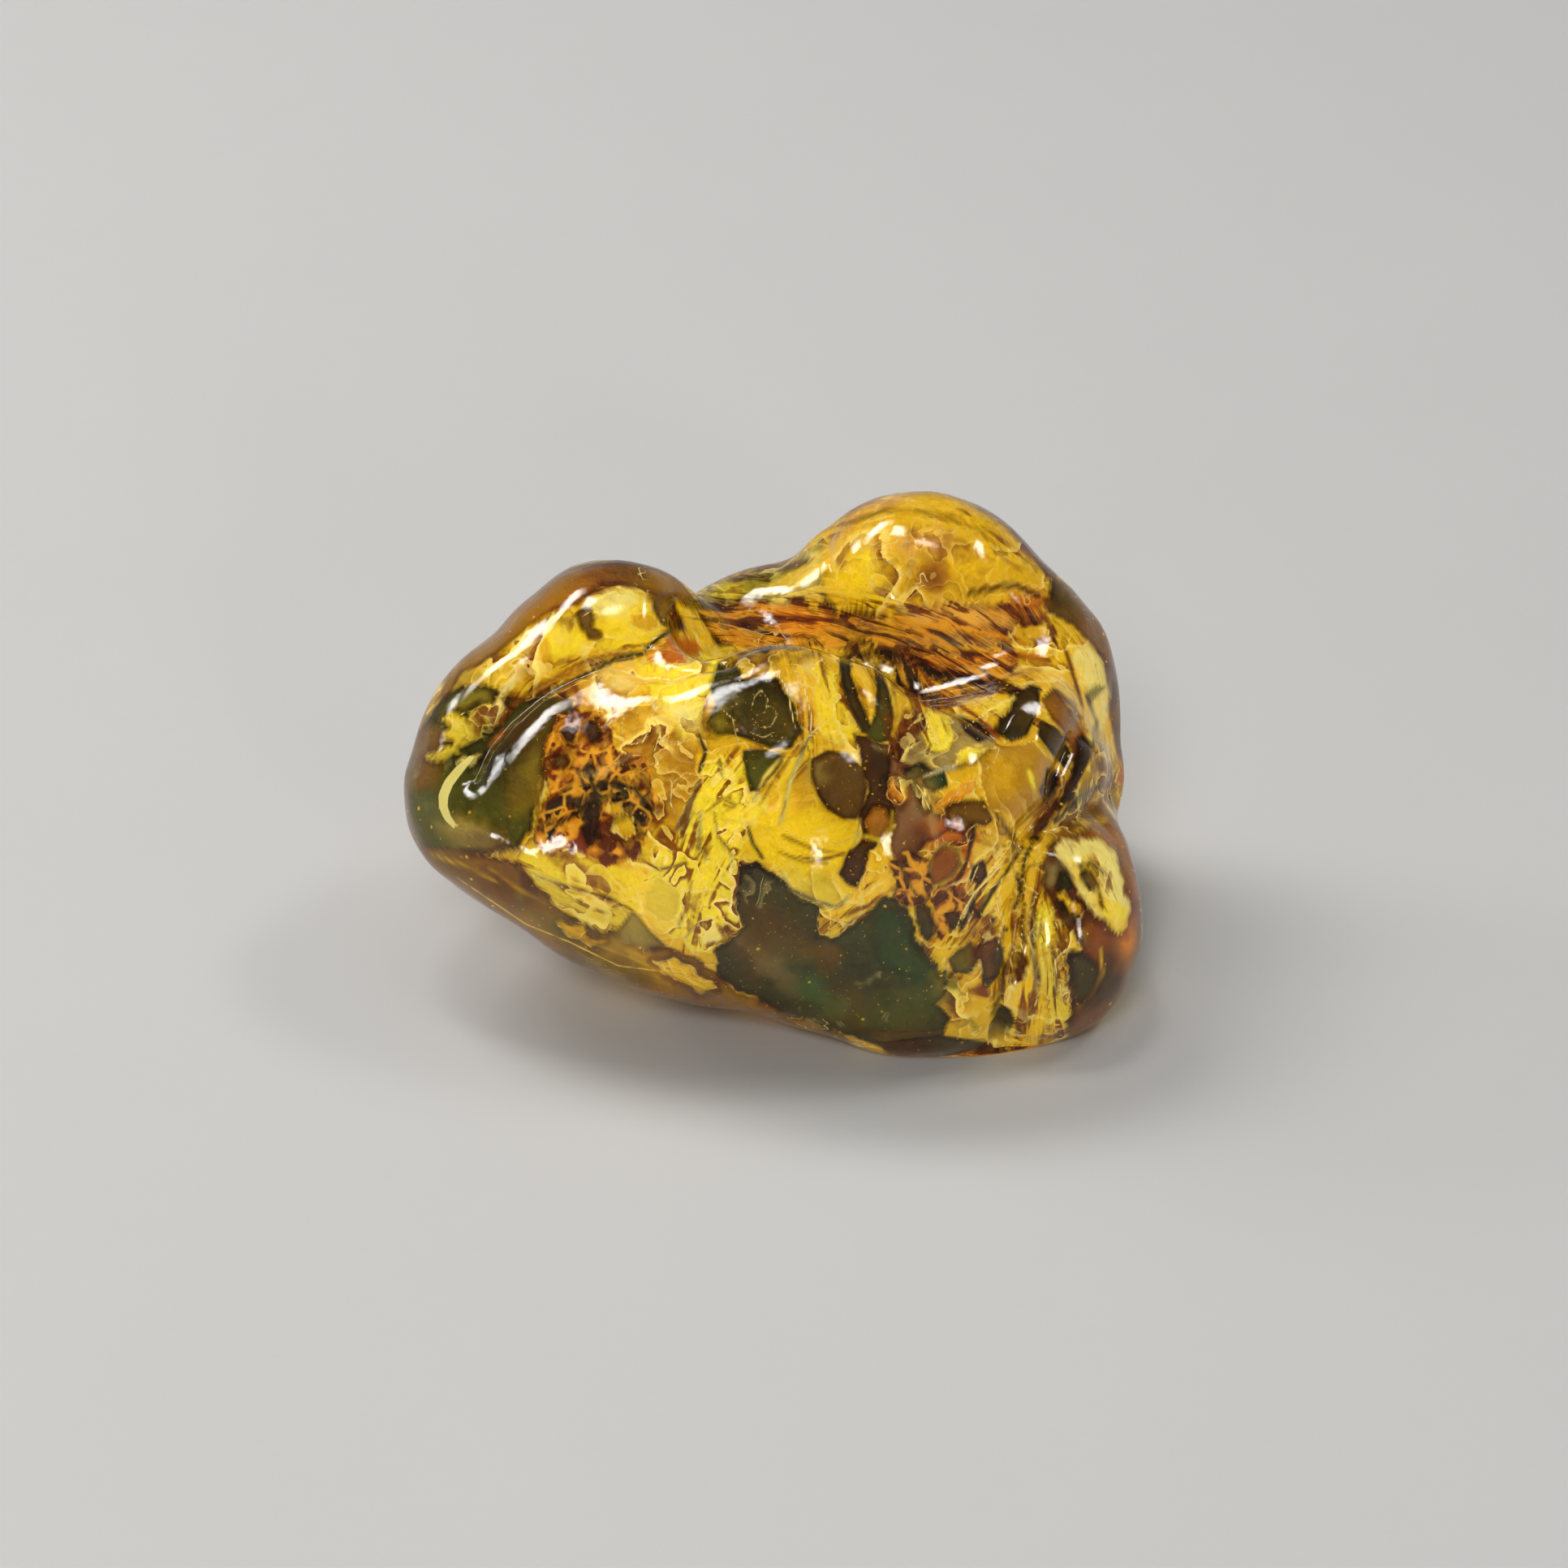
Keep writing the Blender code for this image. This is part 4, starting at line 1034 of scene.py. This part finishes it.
# painted light and shade on leaves: sheets and pleats lit on one side and shaded on the other, with random
# tone change from broad, mid and finer noise
leafLight = (sheet - 0.55) * sheetKeep * 1.15 + (broad - 0.5) * 2.2
leafLight = leafLight + (mid - 0.5) * (0.9 + folds) + (finer - 0.5) * 0.5 + (pleat - 0.5) * folds * 1.1
leafLight = leafLight * (0.45 + folds * 0.8) + folds * 0.18
lumps = resin.cells(700.0, "F1", warped)
pores = resin.cells(1100.0, "F1", resin.bend(900.0, 0.0009))
spongy = resin.noise(300.0, 3.0, warped)
# crust: lumps painted light in the middle and shade toward the crevices between them, darker pores, and
# random tone change
crustLight = (0.52 - lumps) * 2.4 + (spongy - 0.5) * 2.6
crustLight = crustLight - (1 - pores.step(0.18, 0.42)) * 1.1 + (finer - 0.5) * 0.9
threadRidge = 1 - ((threads * 2 - 1).size()).step(0.0, 0.09)
fibreLight = (threads - 0.5) * 5.0 + (finer - 0.5) * 0.5 + threadRidge * 0.5 + (broad - 0.5) * 1.2
clearLight = (resin.noise(120.0, 4.0, warped) - 0.5) * 1.8 + (finer - 0.5) * 0.2
isLeafy, isCrusty, isFibrous = resin.mark("leafy"), resin.mark("crusty"), resin.mark("fibrous")
near = resin.mark("edge") + (fine - 0.5) * 0.10
light = clearLight * (1 - isLeafy) + leafLight * isLeafy
light = light + (crustLight - light) * isCrusty
light = light + (fibreLight - light) * isFibrous
light = light - (1 - isLeafy) * (1 - near.step(0.25, 1.0)) * 0.35     # shade beside each leaf
own = resin.mark("tone", True)
brownCloud = resin.noise(110.0, 3.0, warped).step(0.46, 0.66) * (1 - isLeafy) * 0.55
greenCloud = resin.noise(70.0, 2.0, warped).step(0.52, 0.66) * (1 - isLeafy) * 0.40
own = resin.mix(brownCloud, own, (0.11, 0.042, 0.006))
own = resin.mix(greenCloud, own, (0.035, 0.075, 0.045))
# a darker and a lighter copy of each tone, picked by light: painted light and shade on leaves and crust,
# random tone change and strands elsewhere
darker = resin.tinted(own, (0.30, 0.12, 0.03))
warmer = resin.mix(isCrusty.maths("MAXIMUM", isFibrous - isLeafy), (1.0, 0.70, 0.09), (1.0, 0.50, 0.03))
solid = isLeafy.maths("MAXIMUM", isCrusty).maths("MAXIMUM", isFibrous)
lighter = resin.mix(solid * 0.60 + 0.12, own, warmer)
colour = resin.mix((0.0 - light).step(-0.05, 0.60), own, darker)
colour = resin.mix(light.step(0.05, 0.65), colour, lighter)
# bright: painted highlights on sheet edges and fold crests, mixed in pale yellow on leaves
bright = (lipHighlight * (0.30 + folds * 1.4)).maths("MAXIMUM", crest) * isLeafy * (1 - isFibrous * 0.6)
colour = resin.mix(bright * 0.55, colour, (1.0, 0.86, 0.28))
wall = (1 - resin.cells(620.0, "DISTANCE_TO_EDGE", warped).step(0.03, 0.15)) * spongy.step(0.38, 0.52)
colour = resin.mix(wall * isCrusty * 0.75, colour, (1.0, 0.52, 0.04))      # golden walls between the pores
# painted highlight along leaf edges, pale yellow, in broken stretches
edgeHighlight = 1 - near.step(0.02, 0.11)
edgeHighlightKeep = resin.noise(230.0, 2.0).step(0.46, 0.56)
colour = resin.mix(edgeHighlight * edgeHighlightKeep * 0.75, colour, (1.0, 0.84, 0.26))
bits = resin.cells(520.0)
colour = resin.mix((1 - bits.step(0.05, 0.10)) * (1 - isLeafy), colour, (0.75, 0.56, 0.07))
# the resin gives off a painted glow of its own colour, dimmed, and pale yellow at the painted highlights
lit = resin.mix(bright * 0.7, resin.tinted(colour, (0.70, 0.70, 0.70)), (1.0, 0.86, 0.36))
resin.put(Base_Color=colour, Emission_Color=lit, Emission_Strength=inside["glow"],
          Roughness=inside["roughness"])
relief = mid * isLeafy * 1.6 + finer * 0.9 + spongy * isCrusty * 2.5 + threads * isFibrous * 1.5
resin.bump(relief, 0.0007, 0.9)
makeMesh("layered_resin", layer(depth, inside["groundGap"]), squares, resin.material,
         marks={"tone": tone, "leafy": leafy, "crusty": crusty, "fibrous": fibrous, "crumple": crumple,
                "edge": edge, "flow": flow})
print("inside made")

# a thin film between the leaves and the skin: clear but for its threads, ribbons and faint folds
threadsAbove = [             # tone, half width, points on the sheet
    ("pale", 0.42, [582, 932, 566, 948, 553, 964, 546, 980, 546, 994, 551, 1007, 560, 1018]),
    ("cream", 0.09, [950, 814, 970, 850, 978, 890, 982, 902]),
    ("cream", 0.11, [975, 818, 990, 845, 1000, 882, 998, 906]),
    ("cream", 0.07, [998, 906, 1012, 892, 1020, 884]),
    ("cream", 0.08, [885, 870, 902, 885, 906, 905, 910, 918]),
    ("ash", 0.08, [926, 872, 930, 858, 938, 850, 946, 862, 943, 878, 931, 881]),
    ("ash", 0.07, [926, 884, 936, 896, 950, 895, 958, 880, 951, 870, 942, 872]),
    ("ash", 0.07, [920, 900, 940, 909, 955, 902]),
    ("cream", 0.08, [1236, 908, 1226, 938, 1201, 960, 1171, 984, 1150, 999]),
    ("pale", 0.1, [1252, 1048, 1226, 1074, 1201, 1100, 1186, 1125, 1176, 1150]),
    ("pale", 0.08, [1242, 1078, 1212, 1100]),
    ("pale", 0.07, [1196, 1090, 1206, 1064]),
    ("pale", 0.08, [1128, 965, 1136, 975, 1146, 998]),
    ("bright", 0.08, [556, 884, 575, 878, 592, 869]),
    ("cream", 0.07, [772, 872, 790, 880, 800, 898, 792, 914, 774, 918, 764, 902, 772, 872]),
    ("cream", 0.06, [812, 908, 806, 926, 812, 942]),
    ("cream", 0.08, [1186, 900, 1206, 884, 1230, 876]),
    ("pale", 0.1, [1148, 870, 1142, 890, 1150, 912, 1164, 922]),
    ("pale", 0.08, [1236, 1080, 1228, 1110, 1234, 1140, 1228, 1176]),
    ("pale", 0.09, [1296, 1112, 1304, 1150, 1300, 1190, 1310, 1230]),
    ("pale", 0.08, [1262, 1120, 1258, 1160, 1264, 1200, 1256, 1236]),
    ("cream", 0.07, [960, 1020, 990, 1034, 1030, 1040, 1052, 1032]),
    ("pale", 0.08, [700, 770, 722, 756, 748, 748, 770, 748]),
    ("cream", 0.07, [1050, 660, 1070, 690, 1078, 720]),
    ("cream", 0.07, [820, 952, 806, 940, 790, 950]),
    ("cream", 0.07, [815, 945, 828, 965, 826, 990, 832, 1004]),
    ("cream", 0.07, [828, 965, 845, 952, 866, 958]),
    ("cream", 0.07, [800, 880, 812, 895, 815, 918]),
    ("cream", 0.07, [812, 908, 835, 918, 850, 908]),
    ("bright", 0.08, [1272, 1104, 1282, 1108, 1278, 1124, 1270, 1130]),
    ("gold", 0.07, [558, 1078, 650, 1140, 700, 1160, 762, 1190, 840, 1200, 872, 1216]),
]
veil = {"depth": 0.45, "waver": 0.25, "aboveLeaves": 0.10, "groundGap": 0.4, "glow": 0.25, "roughness": 0.4}
thread = np.full(len(body), outside)
threadTone = np.zeros((len(body), 3)) + resinTone("cream")
for shade, halfWidth, path in threadsAbove:
    gap = np.where(seen > 0.1, insideStroke(flat, onSheet(path), halfWidth), outside)
    threadTone = np.where((gap > thread)[:, None], resinTone(shade), threadTone)
    thread = np.maximum(thread, gap)
film = Paint("milky film")
warpedFilm = film.bend(240.0, 0.0030)
drift = film.noise(150.0, 3.0, warpedFilm)
swirl = (drift * 7.0).maths("FRACT")
vein = 1 - (swirl - 0.5).size().step(0.006, 0.030)
keep = film.noise(190.0, 2.0, lacunarity=2.3).step(0.62, 0.68)
ribbon = (film.mark("thread") + (film.noise(900.0, 2.0) - 0.5) * 0.10).step(-0.04, 0.04)
cover = (vein * keep * 0.8).maths("MAXIMUM", ribbon * 0.85)
cover = cover.maths("MAXIMUM", (swirl - 0.5).step(0.0, 0.45) * keep * 0.25)
filmTone = film.mix(film.noise(500.0, 3.0) * 0.5, film.mark("tone", True), (1.0, 0.9, 0.35))
# the film gives off a painted glow of its own tone, so its threads stay light inside the resin
film.put(Base_Color=filmTone, Emission_Color=filmTone, Emission_Strength=veil["glow"],
         Roughness=veil["roughness"], Alpha=cover)
filmDepth = veil["depth"] + veil["waver"] * (rough(body, 3.0, 201, 2) - 0.5)
filmDepth = np.minimum(filmDepth, depth - veil["aboveLeaves"])
filmPiece = makeMesh("milky_film", layer(filmDepth, veil["groundGap"]), squares, film.material,
                     marks={"thread": thread, "tone": threadTone})
filmPiece.visible_shadow = False      # too thin to shade what lies below
print("film made")


# one small shape repeated: corners turned by each frame, scaled and moved, all in one array
def scatter(name, corner, faces, places, scales, turns, material):
    points = np.einsum("nij,kj->nki", turns, corner) * scales[:, None, :] + places[:, None, :]
    index = faces[None] + (np.arange(len(places)) * len(corner))[:, None, None]
    return makeMesh(name, points.reshape(-1, 3), index.reshape(-1, faces.shape[1]), material, smooth=False)


def anyTurns(chance, count):  # random turning frames from the QR split of random matrices
    frames, _ = np.linalg.qr(chance.normal(size=(count, 3, 3)))
    return frames * np.sign(np.linalg.det(frames))[:, None, None]


flecks = {"count": 1500, "small": 0.045, "large": 0.17, "flatness": 0.35, "nearest": 0.25, "deepest": 2.6}
chance = np.random.default_rng(7)
pick = chance.choice(len(body), flecks["count"], replace=False, p=(1.15 - leafy) / np.sum(1.15 - leafy))
room = np.minimum(depth[pick], flecks["deepest"]) - inside["shallow"]
sink = flecks["nearest"] + room * chance.random(flecks["count"])
place = skinPoints[pick] + inward[pick] * sink[:, None]
place[:, 2] = np.maximum(place[:, 2], inside["shallow"])
diamond = np.array([(1, 0, 0), (-1, 0, 0), (0, 1, 0), (0, -1, 0), (0, 0, 1), (0, 0, -1)], float)
diamond[:, 2] *= flecks["flatness"]
diamondFaces = np.array([(0, 2, 4), (2, 1, 4), (1, 3, 4), (3, 0, 4),
                         (2, 0, 5), (1, 2, 5), (3, 1, 5), (0, 3, 5)])
size = flecks["small"] + (flecks["large"] - flecks["small"]) * chance.random((flecks["count"], 1)) ** 2.5
scale = np.repeat(size, 3, axis=1)
gold = Paint("gold flecks")
goldTone = gold.mix(gold.noise(700.0, 2.0).step(0.4, 0.6), (0.98, 0.80, 0.12), (0.95, 0.50, 0.03))
gold.put(Base_Color=goldTone, Roughness=0.3)
scatter("gold_flecks", diamond, diamondFaces, place, scale, anyTurns(chance, flecks["count"]), gold.material)
print("flecks made")

# floor, lights and camera
studio = {
    "floor": (0.54, 0.53, 0.515),
    "span": 2.5,             # metres from the middle to the edge
    "squares": 32,
    "farGlow": (0.33, 0.33, 0.335),
    "farFrom": 0.32,         # metres
    "farTo": 1.3,
    "zenith": (0.10, 0.105, 0.11),
    "horizon": (0.40, 0.40, 0.405),
    "exposure": 0.22,
    "gamma": 0.90,           # a little more contrast
    "lens": 100.0,
    "sensor": 36.0,
    "lamps": {               # place in mm, aim, way of the long side, width, length, power, soft edge
        "key": ((-480, 340, 700), (-8, -3, 20), (0.78, 0.36, 0.51), 270, 740, 8.8, 0.38),
        "second": ((-165, 170, 950), (-8, -3, 20), (0.4, 0.9, 0), 290, 320, 4.0, 0.40),
        "side": ((-775, 300, 395), (-8, -3, 20), (0.4, 0.9, 0), 270, 300, 2.6, 0.40),
        "front": ((-140, -640, 680), (5, 0, 15), (1, -0.2, 0), 400, 520, 8.6, 0.45),
        "top": ((100, -30, 930), (5, 3, 20), (1, 0.2, 0), 200, 240, 1.2, 0.45),
        "back": ((540, 140, 790), (5, 3, 20), (0, 1, 0), 200, 420, 3.4, 0.40),
        "right": ((370, -800, 340), (15, 0, 10), (0, 0, 1), 160, 300, 2.0, 0.40),
        "left": ((-640, -680, 160), (-10, -5, 12), (0, 0, 1), 120, 200, 1.1, 0.40),
    },
}
pale = Paint("pale floor")
reach = pale.place.node("ShaderNodeVectorMath", {"operation": "LENGTH"}, i0=pale.place)
# the far floor lightens into the backdrop
farOff = Wire(pale.tree, reach.outputs["Value"]).step(studio["farFrom"], studio["farTo"])
worn = tuple(c * 0.97 for c in studio["floor"])
pale.put(Base_Color=pale.mix(pale.noise(30.0, 4.0), studio["floor"], worn), Roughness=0.75,
         Emission_Color=pale.mix(farOff, (0.0, 0.0, 0.0), studio["farGlow"]), Emission_Strength=1.0)
corners = studio["squares"] + 1
across = np.linspace(-studio["span"], studio["span"], corners)
gx, gy = np.meshgrid(across, across, indexing="ij")
floorMesh = bpy.data.meshes.new("floor")
floorPoints = np.stack([gx, gy, np.zeros_like(gx)], -1).reshape(-1, 3)
floorIndex = np.arange(corners ** 2).reshape(corners, corners)
floorFaces = np.stack([floorIndex[:-1, :-1], floorIndex[1:, :-1], floorIndex[1:, 1:], floorIndex[:-1, 1:]],
                      -1).reshape(-1, 4)
floorMesh.from_pydata(floorPoints.tolist(), [], floorFaces.tolist())
floorMesh.materials.append(pale.material)
floor = bpy.data.objects.new("floor", floorMesh)
bpy.context.scene.collection.objects.link(floor)
scene = bpy.context.scene
world = bpy.data.worlds.new("studio")
world.use_nodes = True
sky = world.node_tree.nodes.new("ShaderNodeTexCoord")
height = world.node_tree.nodes.new("ShaderNodeSeparateXYZ")
world.node_tree.links.new(sky.outputs["Generated"], height.inputs[0])
rise = Wire(world.node_tree, height.outputs[2]).step(-0.02, 0.45)
dome = world.node_tree.nodes.new("ShaderNodeMix")
dome.data_type = "RGBA"
dome.inputs[6].default_value = (*studio["horizon"], 1.0)
dome.inputs[7].default_value = (*studio["zenith"], 1.0)
world.node_tree.links.new(rise.socket, dome.inputs[0])
world.node_tree.links.new(dome.outputs[2], world.node_tree.nodes["Background"].inputs["Color"])
scene.world = world
for name, (stand, aim, along, wide, high, power, softEdge) in studio["lamps"].items():
    lamp = bpy.data.lights.new(name, "AREA")
    lamp.shape = "RECTANGLE"
    lamp.size = wide * mm
    lamp.size_y = high * mm
    lamp.energy = power
    lamp.use_nodes = True
    glow = lamp.node_tree.nodes["Emission"]
    where = lamp.node_tree.nodes.new("ShaderNodeNewGeometry")
    split = lamp.node_tree.nodes.new("ShaderNodeSeparateXYZ")
    lamp.node_tree.links.new(where.outputs["Parametric"], split.inputs[0])
    u, v = (Wire(lamp.node_tree, split.outputs[k]) for k in (0, 1))
    fade = u.step(0.0, softEdge) * (1 - u).step(0.0, softEdge)
    fade = fade * v.step(0.0, softEdge) * (1 - v).step(0.0, softEdge)
    lamp.node_tree.links.new(fade.socket, glow.inputs["Strength"])
    holder = bpy.data.objects.new(name, lamp)
    holder.location = Vector(stand) * mm
    away = (Vector(stand) - Vector(aim)).normalized()
    sideways = Vector(along).cross(away).normalized()
    holder.rotation_euler = Matrix((sideways, away.cross(sideways), away)).transposed().to_euler()
    holder.visible_glossy = name != "front"      # the front lamp only fills: its mirror image is left out
    scene.collection.objects.link(holder)
tilt = np.radians(sightLine["tilt"])
ahead = Vector((0.0, float(np.cos(tilt)), float(-np.sin(tilt))))
aim = Vector(sightLine["at"]) - Vector((*form["middle"], 0.0))
eye = bpy.data.cameras.new("eye")
eye.lens = studio["lens"]
eye.sensor_width = studio["sensor"]
eye.clip_start = 0.01
eye.clip_end = 20.0
camera = bpy.data.objects.new("eye", eye)
camera.location = (aim - ahead * sightLine["away"]) * mm
camera.rotation_euler = ahead.to_track_quat("-Z", "Y").to_euler()
scene.collection.objects.link(camera)
scene.camera = camera
scene.view_settings.view_transform = "Standard"
scene.view_settings.exposure = studio["exposure"]
scene.view_settings.gamma = studio["gamma"]
print("studio set")
